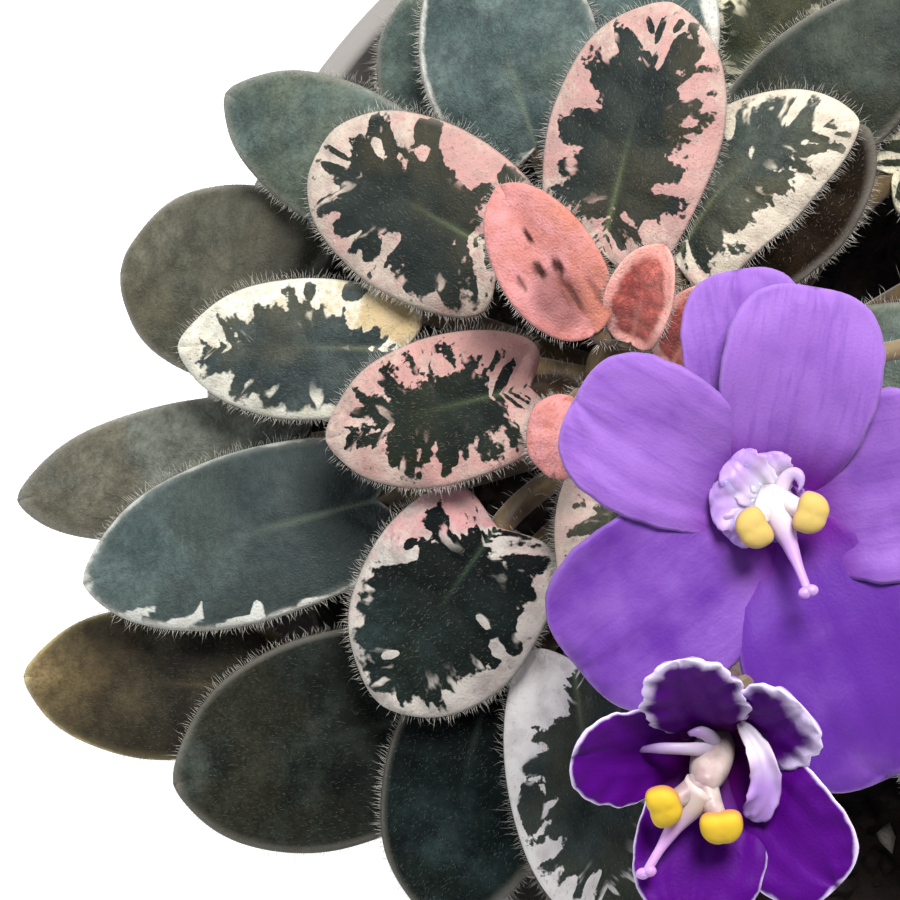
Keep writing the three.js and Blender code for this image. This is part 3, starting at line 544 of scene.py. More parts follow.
rosette = {
    "outer_leaf_1": dict(look="olive", base=(34.3, 162.3), tip=(55, 166.5), width=19.3, storey=-0.1,
        full=0.72, shade=(0.9, 0.7, 0.4, 0, 0)),
    "outer_leaf_2": dict(look="weathered", base=(34.6, -171.9), tip=(64.4, -171.4), width=13, storey=0.3),
    "outer_leaf_3": dict(look="golden", base=(47.6, -143.5), tip=(69.6, -157.3), width=15, storey=-0.6,
        rise=-1, rim=(0.01, 0.01, 0.3, 0.01, 0.01), tinge=(0, 0, 0, 0.15, 0.8),
        shade=(0.8, 0.6, 0.3, 0, 0)),
    "outer_leaf_4": dict(look="green", base=(27.8, 126.5), tip=(46.1, 120.8), width=14, storey=0),
    "outer_leaf_5": dict(look="green", base=(36, -47), tip=(64, -46), width=17, storey=0),
    "outer_leaf_6": dict(look="olive", base=(38, -23), tip=(66, -22), width=17, storey=0.1),
    "outer_leaf_7": dict(look="green", base=(37, 20), tip=(65, 19), width=17, storey=0),
    "outer_leaf_8": dict(look="green", base=(40, -2), tip=(67, -1), width=16, storey=-0.4),
    "middle_leaf_1": dict(look="green", base=(26.6, 138.4), tip=(51, 144.4), width=13.8, storey=1.2),
    "middle_leaf_2": dict(look="fringed", base=(27.5, -157.3), tip=(58.5, -161.9), width=16.6, storey=1.4,
        rim=(0.01, 0.1, 0.15, 0.2, 0.2, 0.3, 0.4, 0.3, 0.1), shade=(1, 0.9, 0.65, 0.25, 0.05),
        blots=((23.6, 4.3, 1.6, 0.4, 1.3), (19.2, 5.6, 0.45, 0.9, 2.4), (20.5, 6.3, 1.2, 0.45, 1.6),
        (15, 7, 0.45, 0.9, 2.4), (16.4, 7.9, 1.2, 0.45, 1.6), (12.1, 8, 0.5, 0.5, 1.4))),
    "middle_leaf_3": dict(look="dusky", base=(35.7, -121.3), tip=(60, -141), width=20.6, storey=1,
        shade=(1, 0.9, 0.6, 0.1, 0)),
    "middle_leaf_4": dict(look="night", base=(32.3, -116), tip=(54.6, -110.5), width=16.8, storey=1.9,
        shade=(1, 0.9, 0.6, 0.2, 0)),
    "middle_leaf_5": dict(look="fringed", base=(24.2, 112), tip=(46.7, 109.7), width=17.5, storey=2.1,
        rim=(0.01, 0.01, 0.01, 0.2, 0.4, 0.5, 0.6, 0.5, 0.9)),
    "middle_leaf_6": dict(look="fringed", base=(23.5, 89), tip=(46.5, 89.5), width=15, storey=1.2,
        rim=(1, 1.2, 1.4, 1.6, 1.4)),
    "middle_leaf_7": dict(look="streaked", base=(28, 74), tip=(48, 65), width=14, storey=0.2,
        rim=(1.2, 1.8, 1.8, 1.4, 1.2)),
    "middle_leaf_8": dict(look="shaded", base=(22.1, 62.8), tip=(46.5, 50.5), width=14, storey=2),
    "middle_leaf_9": dict(look="streaked", base=(31, 38), tip=(57, 36), width=14, storey=1,
        rim=(1.4, 1.8, 1.6, 1.8, 1.4)),
    "middle_leaf_10": dict(look="green", base=(15, -4), tip=(42, -2), width=16, storey=1.7),
    "middle_leaf_11": dict(look="fringed", base=(27, -34), tip=(54, -34), width=17, storey=1.2,
        rim=(0.4, 0.6, 0.4, 0.8, 0.5)),
    "middle_leaf_12": dict(look="green", base=(22, -74), tip=(43, -76), width=15, storey=1.2),
    "inner_leaf_1": dict(look="blush", base=(16.7, 134.6), tip=(37.6, 143.1), width=17, storey=3.4,
        full=0.7, point=0, rim=(4, 4, 1.8, 2.6, 2.6, 2.2, 2.4, 1.2, 0.9),
        blush=(1, 1, 0.85, 0.2, 0, 0.3, 0.4, 0.3, 0.3), blots=((8.8, -7.4, 2, 3, 3),
        (13.4, -3, 0.5, 0.7, 3), (11.9, -4.7, 0.4, 1.1, 3), (11.2, 4, 0.8, 1.2, 4),
        (18.8, 0.7, 1.8, 0.5, -4), (19.8, -0.8, 1.6, 0.3, -4), (16.9, -2.6, 0.6, 0.9, -4),
        (16, -5.2, 0.35, 0.9, -4), (14.7, -4.2, 0.4, 1, -4), (12.2, -6.9, 0.9, 1.4, -3),
        (14.1, 3.9, 0.7, 1.7, -3), (15.5, -3.2, 0.45, 0.7, 4), (17.4, 2.4, 0.6, 0.6, 3),
        (15.5, 2.9, 0.35, 1.1, -3), (11.5, 5.5, 0.45, 1.3, -3), (6.7, -7.2, 1, 1.1, -5),
        (12.9, -7.9, 0.4, 0.5, -3))),
    "inner_leaf_2": dict(look="blush", base=(11.1, 93.3), tip=(35, 81), width=16.5, storey=5, egg=0,
        rim=(2.2, 2.6, 2.5, 1.9, 3, 2.6, 2.8, 1.5, 1.2),
        blush=(0.5, 0.8, 0.8, 0.7, 0.5, 0.7, 0.8, 0.5, 0.4), blots=((18.7, 2.7, 0.5, 1.4, -3),
        (16.3, 3.4, 0.7, 1.2, -3), (11.4, 5.9, 0.8, 1, -3), (13.4, 3.5, 0.5, 1.2, -3),
        (21.5, 1, 0.35, 0.5, -4), (22, -0.1, 0.9, 0.3, -4), (21.4, -1.6, 0.35, 0.35, -4),
        (21.1, -2.9, 0.4, 0.4, -4), (18.9, -3.7, 1, 1, -4), (19.8, -1, 1.5, 0.4, 4),
        (16.4, -4.6, 0.7, 1.2, 4), (13.8, 4.7, 0.5, 1.5, 3), (20.2, 1.1, 1, 0.6, 2),
        (6.6, -4, 0.8, 0.9, 3), (3.9, -1.5, 0.6, 0.5, -3))),
    "inner_leaf_3": dict(look="cream", base=(11.8, 60.5), tip=(32.4, 45.4), width=13, storey=4.1, bow=2.8,
        rim=(2, 2.1, 2.2, 2.3, 1.7, 1.2, 0.9, 1, 1.4), blush=(0.6, 0.1, 0, 0, 0, 0, 0.3, 0.7, 0.8),
        blots=((19.8, -1.2, 0.35, 0.35, -4), (18.6, -2.2, 0.35, 0.45, -4), (17.6, -1.8, 0.4, 0.6, -4),
        (16.5, -1.8, 0.4, 0.4, -4), (14.3, -2.8, 0.4, 0.4, -4), (12.3, -3.1, 0.4, 0.4, -4),
        (10.8, -3.4, 0.35, 0.7, -5), (7.9, -2.7, 0.4, 0.4, -4), (16.7, 2.3, 0.4, 1.4, 3),
        (13.9, 0.6, 0.5, 0.8, 3), (12.3, 4, 0.4, 1.2, 3))),
    "inner_leaf_4": dict(look="peach", base=(22, 171.2), tip=(45.2, 174.4), width=13.6, storey=2.5,
        rim=(4.5, 4.5, 2.2, 1.8, 3, 1.4, 0.8, 0.7, 0.9), blush=(1, 0.9, 0.1, 0, 0, 0, 0, 0, 0.3),
        blots=((10.8, -5.6, 0.4, 0.9, -4), (8.3, -5.6, 0.7, 1, -4))),
    "inner_leaf_5": dict(look="rosy", base=(7.7, -170.1), tip=(28.5, -168.7), width=14, storey=4.9,
        rim=(3.6, 3.4, 2.4, 2.4, 2.6, 2.2, 2, 1.8, 2.2), blush=(1, 1, 0.7, 0.5, 0.3, 0.5, 0.5, 0.6, 0.7),
        blots=((16.6, -1.5, 0.9, 0.5, -3), (16.5, 1.3, 0.8, 0.5, -3), (14, 3, 0.4, 1.1, -3),
        (12.7, 4.3, 0.4, 0.9, -3), (10.2, 5.9, 0.35, 0.8, -4), (9.7, 4.8, 0.4, 0.8, -3),
        (9.5, -3.8, 0.4, 1.1, 3), (5.4, -1.5, 0.35, 1.4, 3), (10.6, 3.3, 0.9, 0.5, 2),
        (15.2, 0.6, 1.2, 0.3, 2), (4.3, -1.8, 0.5, 1.2, -3))),
    "inner_leaf_6": dict(look="shadow", base=(18.3, -130.2), tip=(38.5, -127.5), width=18.3, storey=3.6,
        full=0.78, rim=(3, 3.2, 1.3, 0.9, 1.1, 1.3, 1.7, 1.3, 0.5), shade=(1, 0.9, 0.7, 0.3, 0, 0),
        blush=(1.1, 0.9, 0, 0, 0, 0, 0, 0.1, 0.6), blots=((8.4, -6.6, 1.2, 2.2, 4), (8, -6, 0.5, 0.5, -5),
        (9.4, 4, 0.35, 1, 4), (14, 0, 0.5, 0.3, 3), (15.9, -1.6, 0.4, 0.8, 4), (10.1, 6.6, 0.35, 0.9, 3),
        (7.8, 7.6, 0.7, 0.9, 3), (9.3, 8, 0.4, 0.6, -3), (10.9, 7.1, 0.35, 0.4, -3),
        (18, 1.1, 0.4, 0.4, -3))),
    "inner_leaf_7": dict(look="frost", base=(26.9, -100.9), tip=(52.7, -91.2), width=16.5, storey=2.8,
        rim=(5, 5, 3.4, 1.4, 1.6, 1.2, 1.2, 1.2, 1.5), blush=(0.2, 0, 0, 0, 0),
        blots=((11.3, -4.9, 0.45, 1.6, -6), (13.6, -6.2, 1.4, 1.3, -6), (19.7, -3.8, 0.5, 1.4, 3),
        (21, -1.2, 0.5, 1.2, 3), (7, -3, 1.6, 2.6, 3))),
    "inner_leaf_8": dict(look="cream", base=(8.4, -90.5), tip=(24.9, -92), width=11, storey=4.4,
        rim=(3.2, 2.8, 2.6, 2.6, 3), blush=(0.8, 0.5, 0.2)),
    # painted shadow: this leaf lies in the shadow of inner_leaf_3, and its skin is near black for it
    "inner_leaf_9": dict(look="brown", base=(13.3, 46.4), tip=(32.5, 44.8), width=12.5, storey=3),
    "inner_leaf_10": dict(look="blush", base=(13, -58), tip=(37, -60), width=15, storey=2.3,
        rim=(3, 2.4, 2.4, 2.8, 2.6), blush=(0.8, 0.4, 0.8)),
    "inner_leaf_11": dict(look="cream", base=(14, -27), tip=(39, -27), width=15, storey=3.2,
        rim=(2.6, 2.2, 2.4, 2.2, 2.4), blush=(0.4, 0.1, 0.4)),
    "young_leaf_1": dict(look="pink", base=(2.8, 88.2), tip=(18, 116), width=9.4, storey=7, rise=6,
        rim=(9, 9), blush=(0.1, 0.1, 0.3, 0.8, 1, 1, 1, 0.9, 0.6), lobe=0,
        spots=((10.6, 0.1, 0.9, 0.3, 1), (7.4, 0.9, 1.1, 0.5, 1), (6.8, -0.7, 1, 0.5, 1),
        (7.3, 2.9, 0.9, 0.3, 0.8), (4.2, -0.2, 2.4, 0.7, 0.9), (4.4, 0.8, 3, 2.4, 0.55),
        (3, -2.4, 1.8, 0.4, 0.6))),
    "young_leaf_2": dict(look="rose", base=(3.8, 36), tip=(12.6, 56), width=6.4, storey=6.3, rise=6,
        cup=-1.5, point=0.5, rim=(1, 0.9, 0.8, 0.9, 1)),
    "young_leaf_3": dict(look="rose", base=(6.2, 1), tip=(14, 28), width=6.6, storey=5.4, rise=6,
        cup=-1.5, point=0.5, rim=(1, 0.9, 0.8, 0.9, 1)),
    "young_leaf_4": dict(look="pink", base=(3.8, -129.7), tip=(11, -114.4), width=6.6, storey=6.2, rise=1,
        rim=(9, 9)),
}


# A blade's middle surface. Its edge sweeps half a turn from base to tip: along = (1 - cos) / 2 less a lobe
# that hangs back, across = sin ^ (full + point t^2), with a frill of short waves. A row of one t runs from
# the midrib to the edge, as a side vein does.
def bladeSurface(spine, side, blade, t, v):
    turn = np.pi * t
    swell = np.maximum(np.sin(turn), 1e-6)
    backLobe = blade["lobe"] * np.sin(2 * turn) * np.maximum(0, np.cos(turn))
    edgeAlong = (1 - np.cos(turn)) / 2 - backLobe
    taper = swell ** (blade["full"] + blade["point"] * t * t)
    halfWidth = blade["width"] / 2 * taper * (1 + blade["egg"] * np.cos(turn))
    quick, slow = bladeForm["frillWaves"]
    halfWidth = halfWidth * (1 + blade["frill"] * np.sin(quick * turn + blade["seed"]) * np.sin(slow * turn))
    midAlong = t - blade["sweep"] * swell
    along = midAlong + (edgeAlong - midAlong) * np.abs(v)
    centre, forward = bezier(spine, np.clip(along, 0, 1))
    normal = unit(np.cross(forward, side))
    left = np.cross(normal, forward)
    ripple = np.sin(2 * np.pi * blade["waves"] * t + np.where(v < 0, bladeForm["rippleShift"], 0)) * swell
    height = (blade["wave"] * ripple - blade["cup"] * swell) * v * v
    hang = (np.minimum(along, 0) * blade["length"])[..., None] * bezier(spine, 0.0)[1]
    surface = centre + hang + left * (v * halfWidth)[..., None] + normal * height[..., None]
    return {"at": surface, "normal": normal, "left": left, "forward": forward,
            "along": along * blade["length"], "across": v * halfWidth, "halfWidth": halfWidth + 0 * v}


# Relief in mm: midrib and side veins are pressed in, and the skin between them stands up
def leafLift(blade, t, v, flat):
    quilt = 0.5 - 0.5 * np.cos(2 * np.pi * blade["veins"] * t)
    offRib = 1 - np.exp(-(flat["across"] / leafRelief["rib"]) ** 2)
    step = leafRelief["rollStep"]
    roll = grain(flat["along"] / step, flat["across"] / step, blade["seed"]) - 0.5
    veins = blade["quilt"] * (quilt ** leafRelief["roundness"] - 0.5) * offRib * (1 - v ** 6)
    return veins + leafRelief["roll"] * roll - leafRelief["ribDepth"] * (1 - offRib) * (1 - t)


# Distances in mm to the margin, from the side, the tip and the base, the least of them counting
def marginOf(blade, v, flat):
    fromSide = (1 - np.abs(v)) * flat["halfWidth"]
    fromTip = 0.75 * (blade["length"] - flat["along"])
    fromBase = 0.8 + 0.8 * np.maximum(flat["along"], 0)
    return np.minimum(np.minimum(fromSide, fromTip), fromBase)


# How far the border reaches past the margin, with the blots that it sends into the green, and the spots,
# tints and veins, and the painted shade at the base and in the side veins' grooves. A blot or spot is an
# ellipse whose strength eases out from its middle.
def leafMarks(blade, t, v, flat):
    margin = marginOf(blade, v, flat)
    goneRound = (1 - t) * np.tanh(4 * v)
    rim, blush = (np.interp(goneRound, np.linspace(-1, 1, len(blade[part])), blade[part])
                  for part in ("rim", "blush"))
    reach = rim - margin - marking["noRim"] * (rim <= 0)
    vein = t * blade["length"] + 0 * v
    for veinAt, acrossAt, length, width, widening in blade["blots"]:
        away = np.hypot((vein - veinAt) / length, (flat["across"] - acrossAt) / width)
        reach = reach + widening * ease(*marking["blot"], away)
    spot = np.zeros_like(margin)
    for alongAt, acrossAt, length, width, strength in blade["spots"]:
        away = np.hypot((flat["along"] - alongAt) / length, (flat["across"] - acrossAt) / width)
        spot = np.maximum(spot, strength * ease(*marking["spot"], away))
    seam = np.where(rim > marking["seamFrom"], 4 * (marking["seam"] - margin), -marking["noRim"])
    reach = np.maximum(reach, seam)
    # Tinge is a share of the leaf's own tan; shade is a share of painted shade, darkest at the base where the
    # leaf goes under the leaves above
    tinge, shade = (np.interp(t, np.linspace(0, 1, len(blade[part])), blade[part]) + 0 * v
                    for part in ("tinge", "shade"))
    # Painted shade in the side veins' pressed-in grooves: 1 where the relief dips, fading between the veins
    crease = (0.5 + 0.5 * np.cos(2 * np.pi * blade["veins"] * t)) ** 4 * (1 - v ** 6)
    return {"along": flat["along"] + 0 * v, "across": flat["across"], "reach": reach, "vein": vein,
            "spot": spot, "blush": blush, "tinge": tinge, "shade": shade, "crease": crease,
            "fray": np.clip(rim / marking["frayFull"], *marking["fray"]),
            "rib": np.exp(-(flat["across"] / marking["rib"]) ** 2) * ease(*marking["ribGone"], t),
            "furred": ease(marking["furred"], 0.0, margin), "seed": blade["seed"] + 0 * margin}


# Upper and lower face meet in a rounded margin: half thickness = half * sqrt(1 - v^6)
def bladeShape(spine, side, blade, relief, marks):
    t = (np.arange(1, blade["rows"]) / blade["rows"])[:, None]
    line = np.linspace(-1, 1, blade["columns"] + 1)
    crowding = bladeForm["crowding"]
    v = ((1 - crowding) * line + crowding * np.sin(np.pi / 2 * line))[None, :]
    flat = bladeSurface(spine, side, blade, t, v)
    lift = relief(blade, t, v, flat) * np.minimum(1, marginOf(blade, v, flat))
    half = blade["thickness"] / 2 * np.sqrt(np.maximum(1 - v ** 6, 0)) * ease(0, bladeForm["tipEase"], 1 - t)
    half = half + bladeForm["thinnest"]
    body = flat["at"] + flat["normal"] * lift[..., None]
    offset = flat["normal"] * half[..., None]
    rings = np.concatenate([body + offset, (body - offset)[:, -2:0:-1]], axis=1)
    both = {name: np.concatenate([value, value[:, -2:0:-1]], axis=1)
            for name, value in marks(blade, t, v, flat).items()}
    both["upper"] = np.concatenate([np.ones_like(body[..., 0]), np.zeros_like(body[:, 1:-1, 0])], axis=1)
    return skin(rings, bezier(spine, 0.0)[0], bezier(spine, 1.0)[0], **both)


# A point at a height, from its distance in mm and its angle in degrees about the crown's middle
def aboutCrown(polar, height):
    return np.array([*crown["place"], height]) + polar[0] * heading(math.radians(polar[1]))


# The stem leans: its middle shifts evenly with the depth below the crown
def stemAxis(height):
    below = crown["height"] - np.asarray(height, float)
    return np.stack([crown["place"][0] - crown["lean"][0] * below,
                     crown["place"][1] - crown["lean"][1] * below, height + 0 * below], -1)


# The stem narrows above the soil
def stemRadius(height):
    narrowed = ease(crown["soilTop"], crown["height"], np.asarray(height, float))
    return crown["radius"] - crown["taper"] * narrowed


# Spine and leaf stalk of one row of the rosette
def leafLines(name, index):
    blade = {**(youngBlade if name.startswith("young") else leafBlade), **rosette[name], "seed": 3.7 * index}
    if name.startswith("inner"):
        blade.update(markedLeaf)
    footHeight, startHeight, tipHeight = (low + step * blade["storey"] for low, step in storeys.values())
    start = aboutCrown(blade["base"], startHeight)
    end = aboutCrown(blade["tip"], tipHeight + blade["rise"])
    flat = unit((end - start) * (1, 1, 0))
    side = np.cross(up, flat)
    spine = [start, (start + end) / 2 + up * 2 * blade["arch"] + side * 2 * blade["bow"], end]
    away = unit(aboutCrown((1, blade["base"][1]), 0) - aboutCrown((0, 0), 0))
    foot = stemAxis(footHeight) + away * (stemRadius(footHeight) - 0.6)
    reach = np.linalg.norm(foot - start) / 3
    stalk = [foot, foot + away * reach, start - bezier(spine, 0.0)[1] * reach, start]
    blade["length"] = pathLength(bezier(spine, np.linspace(0, 1, 60))[0])
    return blade, spine, side, stalk


# Radii at foot and blade, and of the midrib that the stalk runs on as, at its start and end
stalkTaper = {"stalk": (1.12, 0.95), "midrib": (0.8, 0.16), "from": 0.04, "to": 0.86}


# The leaf stalk runs on under the blade as its midrib and tapers out before the tip
def leafStalk(blade, spine, side, stalk):
    along, forward = bezier(stalk, np.linspace(0, 1, 14))
    under, aim = bezier(spine, np.linspace(stalkTaper["from"], stalkTaper["to"], 16))
    centres = np.vstack([along, under])
    tangents = np.vstack([forward, aim])
    radii = [np.linspace(*stalkTaper["stalk"], 14), np.linspace(*stalkTaper["midrib"], 16)]
    radii = np.concatenate(radii) * blade["stalk"]
    depth = ease(0.5, 1.0, np.linspace(0, 2, 30)) * (radii * 0.75 + 0.1)
    centres = centres - unit(np.cross(tangents, side)) * depth[:, None]
    return pipe(centres, tangents, side, radii, 12, 0.9)


# Hair sizes in mm: radii, and how far a foot is sunk. The second ring of a hair stands at a share of its
# length, with a share of its bend and of its radius.
hairs = {"down": 0.024, "fringe": 0.03, "stalk": 0.034, "downSunk": 0.1, "sunk": 0.12, "curl": 0.3,
         "waistAt": 0.55, "waistBend": 0.3, "waist": 0.62, "onLeafStalk": 110, "onFlowerStalk": 260,
         "downLength": 0.62}


# Any direction square to each heading
def anySide(headings):
    return unit(np.cross(headings, unit(chance.normal(size=headings.shape))))


# Three spokes round each heading, a third of a turn apart
def spokesAbout(headings):
    side = anySide(headings)
    other = np.cross(side, headings)
    turn = 2 * np.pi * np.arange(3) / 3
    return np.cos(turn)[:, None] * side[:, None] + np.sin(turn)[:, None] * other[:, None]


# Down is short three-sided spikes of four faces
def downShape(roots, headings, lengths):
    headings = unit(headings)
    foot = (roots - hairs["downSunk"] * headings)[:, None] + hairs["down"] * spokesAbout(headings)
    tip = (roots + headings * lengths[:, None])[:, None]
    return swarm(np.concatenate([foot, tip], axis=1), [[0, 1, 3], [1, 2, 3], [2, 0, 3], [2, 1, 0]])


# A hair is a three-sided spike in two steps: a ring at the foot, a thinner one past halfway, and the tip
def hairShape(roots, headings, lengths, radius):
    headings = unit(headings)
    bend = chance.normal(size=roots.shape) * hairs["curl"] * lengths[:, None]
    spokes = spokesAbout(headings)
    foot = (roots - hairs["sunk"] * headings)[:, None] + radius * spokes
    middle = roots + headings * hairs["waistAt"] * lengths[:, None] + hairs["waistBend"] * bend
    middle = middle[:, None] + hairs["waist"] * radius * spokes
    tip = (roots + headings * lengths[:, None] + bend)[:, None]
    return swarm(np.concatenate([foot, middle, tip], axis=1), [[3, 4, 6], [4, 5, 6], [5, 3, 6], [2, 1, 0]],
                 [[0, 1, 4, 3], [1, 2, 5, 4], [2, 0, 3, 5]])


# Down on the upper face leans to the tip. Places are even over the face, since cos(pi t) is.
def leafDown(blade, spine, side):
    count = blade["down"]
    t = np.arccos(chance.uniform(-0.98, 0.98, count)) / np.pi
    v = chance.uniform(-0.97, 0.97, count)
    flat = bladeSurface(spine, side, blade, t, v)
    lift = leafLift(blade, t, v, flat) * np.minimum(1, marginOf(blade, v, flat))
    lift = lift + 0.47 * blade["thickness"] * np.sqrt(1 - v ** 6)
    aims = flat["normal"] + 0.5 * flat["forward"] + 0.3 * chance.normal(size=(count, 3))
    lengths = blade["hairLength"] * hairs["downLength"] * chance.uniform(0.5, 1.2, count)
    return downShape(flat["at"] + flat["normal"] * lift[:, None], aims, lengths)


# The fringe stands out from the margin, sideways along the edge and forwards round the tip
def leafFringe(blade, spine, side, stalk):
    count = blade["fringe"]
    t = np.arccos(np.linspace(-0.999, 0.96, count)) / np.pi
    v = np.where(np.arange(count) % 2, 1.0, -1.0)
    flat = bladeSurface(spine, side, blade, t, v)
    outwards = flat["left"] * np.sign(v)[:, None] * np.sin(np.pi * t)[:, None] ** 0.5
    sweep = flat["forward"] * (-np.cos(np.pi * t)[:, None])
    aims = outwards + sweep + flat["normal"] * chance.uniform(-0.35, 0.9, (count, 1))
    aims = aims + 0.25 * chance.normal(size=(count, 3))
    lengths = blade["hairLength"] * chance.uniform(0.5, 1.25, count)
    return [hairShape(flat["at"], aims, lengths, hairs["fringe"]), stalkHairs(stalk, blade["stalk"])]


# Hairs stand round a stalk and lean a little along it
def stalkHairs(path, radius):
    centres, forward = bezier(path, chance.uniform(0.05, 1, hairs["onLeafStalk"]))
    aims = anySide(forward)
    lengths = chance.uniform(0.5, 1.2, len(centres))
    return hairShape(centres + aims * radius * 0.92, aims + 0.3 * forward, lengths, hairs["stalk"])


whorls = {"outer": "leaf_green", "middle": "leaf_green", "inner": "leaf_variegated", "young": "leaf_young"}
fringes, down = ({whorl: [] for whorl in whorls} for _ in range(2))
for index, name in enumerate(rosette):
    blade, spine, side, stalk = leafLines(name, index)
    shape = bladeShape(spine, side, blade, leafLift, leafMarks)
    whorl = name.split("_")[0]
    pale = blade["look"] in ("streaked", "blush", "shadow", "rosy", "cream", "frost", "peach")
    slot = "leaf_young" if whorl == "young" else "leaf_variegated" if pale else "leaf_green"
    addPiece(name + "_skin", [shape], leafFinishes[blade["look"]], [name])
    addPiece(name + "_stalk", [leafStalk(blade, spine, side, stalk)], stalkFinish)
    fringes[whorl] += leafFringe(blade, spine, side, stalk)
    down[whorl].append(leafDown(blade, spine, side))
for whorl, slot in whorls.items():
    addPiece(whorl + "_leaf_hairs", fringes[whorl], hairFinish)
    addPiece(whorl + "_leaf_down", down[whorl],
             paleDownFinish if whorl in ("inner", "young") else downFinish)
print("rosette,", len(rosette), "leaves")


# Stem with the scars of old leaf stalks: the radius swells where two sine waves that wind both ways meet

def addStem():
    heights = np.linspace(crown["foot"], crown["height"], 60)
    turn = 2 * np.pi * (np.arange(40) + 0.5) / 40
    axis = np.broadcast_to(unit(np.array([*crown["lean"], 1.0])), (60, 3))
    radii = stemRadius(heights) * np.sqrt(ease(crown["height"] + 1.5, crown["height"] - 5, heights))
    rings = tubeRings(stemAxis(heights), axis, np.array([0.0, 1.0, 0.0]), radii, 40)
    scars = np.sin(3 * turn[None] + heights[:, None] * 1.1) * np.sin(heights[:, None] * 1.9 - 2 * turn[None])
    centres = stemAxis(heights)[:, None]
    rings = centres + (rings - centres) * (1 + 0.05 * scars)[..., None]
    bark = plainFinish("stem bark", (60, 44, 26), (112, 92, 60), 220, 0.75, 0.3)
    addPiece("stem_bark", [skin(rings, stemAxis(heights[0]), stemAxis(heights[-1]))], bark, ["stem"])


addStem()
print("stem")


# Blooms. A bloom's own axes have +Z out of the flower, and its petals stand round the throat.

petalBlade = {"full": 0.68, "point": 0, "egg": -0.25, "lobe": 0, "sweep": 0.08, "cup": -0.9,
              "wave": 0.35, "waves": 2, "thickness": 0.8, "rows": 44, "columns": 26, "crimp": 0.0,
              "frill": 0.012, "tone": 0.5, "edging": 1.0}
throat = {"depth": 4.0, "radius": 2.7, "bore": 1.9}
anther = {"size": (1.85, 1.45, 1.2), "boxy": 0.78, "bend": 0.24, "notch": 0.06}
calyx = {"radius": 2.3, "height": 1.6, "sepals": 5, "droop": -50}
sepal = {"length": 4.4, "width": 1.9, "rise": 0, "thickness": 0.6, "full": 0.8, "cup": 0.1, "wave": 0,
         "rows": 18, "columns": 8}
blooms = {
    "bloom_1": dict(
        throat=(8.6, -13, 122), tilt=18, toward=-35, opening=(26, -14), finish="open", columnTop=(-0.4, 1, 3),
        anthers=[(-2.1, -1.4, 5.3, -62), (2.8, -0.2, 5.3, 70)], styleTip=(2.4, -6.9, 6.5),
        # A petal's tone deepens its violet: partly the petal's own colour, partly painted shade on the lower
        # petals
        petals=[dict(angle=150, length=21.5, width=13.4, rise=0.7, tone=0.2),
                dict(angle=98, length=22.5, width=11.6, rise=-0.9, tone=0.3),
                dict(angle=79, length=21, width=13.6, rise=1.2, tone=0.15),
                dict(angle=10, length=17, width=16.5, rise=0.2, tone=0.3),
                dict(angle=-142, length=24, width=16.5, rise=-0.3, tone=0.6),
                dict(angle=-68, length=28, width=17, rise=-1, tone=0.88)],
        petaloids=[dict(width=4.6, spine=[(-0.6, 0.2, 0.4), (-3, 0.6, 3.4), (-5.8, 0.3, 2.6)]),
                   dict(width=4.4, spine=[(-0.4, 0.6, 0.4), (-2.2, 2.6, 3.6), (-4, 4.4, 2.6)]),
                   dict(width=4, spine=[(0, 0.8, 0.4), (-0.6, 3, 3.4), (-0.8, 4.9, 2.4)]),
                   dict(width=3.6, spine=[(-0.4, 0, 0.4), (-2.4, -0.8, 3.2), (-4.2, -2.6, 2.4)])],
        curls=[[(0.4, 1.4, 2.4), (1, 3.9, 3.2), (2.6, 3.4, 3.6), (2, 1.4, 3.4)]]),
    "bloom_2": dict(
        throat=(5, -33.6, 130), tilt=30, toward=-72, opening=(48, 30), finish="fresh",
        columnTop=(-1.1, -1.2, 6.4), anthers=[(-4.4, -1.8, 8.8, 104), (0.4, -3.9, 8.8, 4)],
        styleTip=(-6.2, -7.4, 10),
        petals=[dict(angle=100, length=16.5, width=8.4, rise=0.5, crimp=0.7, full=0.84, frill=0.09, edging=2),
                dict(angle=37, length=13, width=9, rise=-0.3, crimp=0.5, frill=0.07, edging=3),
                dict(angle=165, length=16, width=9, rise=-0.3, crimp=0.35, full=0.76, frill=0.04, edging=0.6),
                dict(angle=-103, length=16.5, width=11, rise=0.3, crimp=0.2, edging=0.5),
                dict(angle=-44, length=18, width=10.6, rise=-0.5, crimp=0.3, edging=0.8)],
        petaloids=[dict(width=2.7, spine=[(2.2, 3, 3.2), (5.4, 0.2, 6.2), (4.4, -2.8, 6.2), (2.6, -4.8, 6)])],
        curls=[[(0, 0.6, 3), (-2, 2.4, 7), (-4.4, 2.6, 6.2), (-6.3, 1.7, 5)],
               [(0, 1, 3), (-0.6, 3.9, 5.6), (-2, 3.2, 5.4)]]),
    "bloom_3": dict(
        throat=(43, 5, 118), tilt=42, toward=12, opening=(38, -4), finish="open", columnTop=(0, 0.5, 3),
        anthers=[(-2.2, -1, 5.3, -60), (2.2, -1, 5.3, 60)], styleTip=(-2.6, -6, 6.4),
        petals=[dict(angle=100, length=16.5, width=13.5, rise=0.6, tone=0.3),
                dict(angle=30, length=17, width=13.5, rise=-0.4, tone=0.4),
                dict(angle=-42, length=19, width=15, rise=0.6, tone=0.5),
                dict(angle=-112, length=19, width=15, rise=-0.4, tone=0.6),
                dict(angle=172, length=16.5, width=14, rise=0, tone=0.5)],
        petaloids=[dict(width=4, spine=[(0, 0.6, 0.4), (0.4, 2.6, 3.4), (0.6, 4.8, 2.6)])],
        curls=[[(0.4, 1, 2.4), (2.6, 2, 3.6), (3.6, 0.4, 3.2)]]),
}
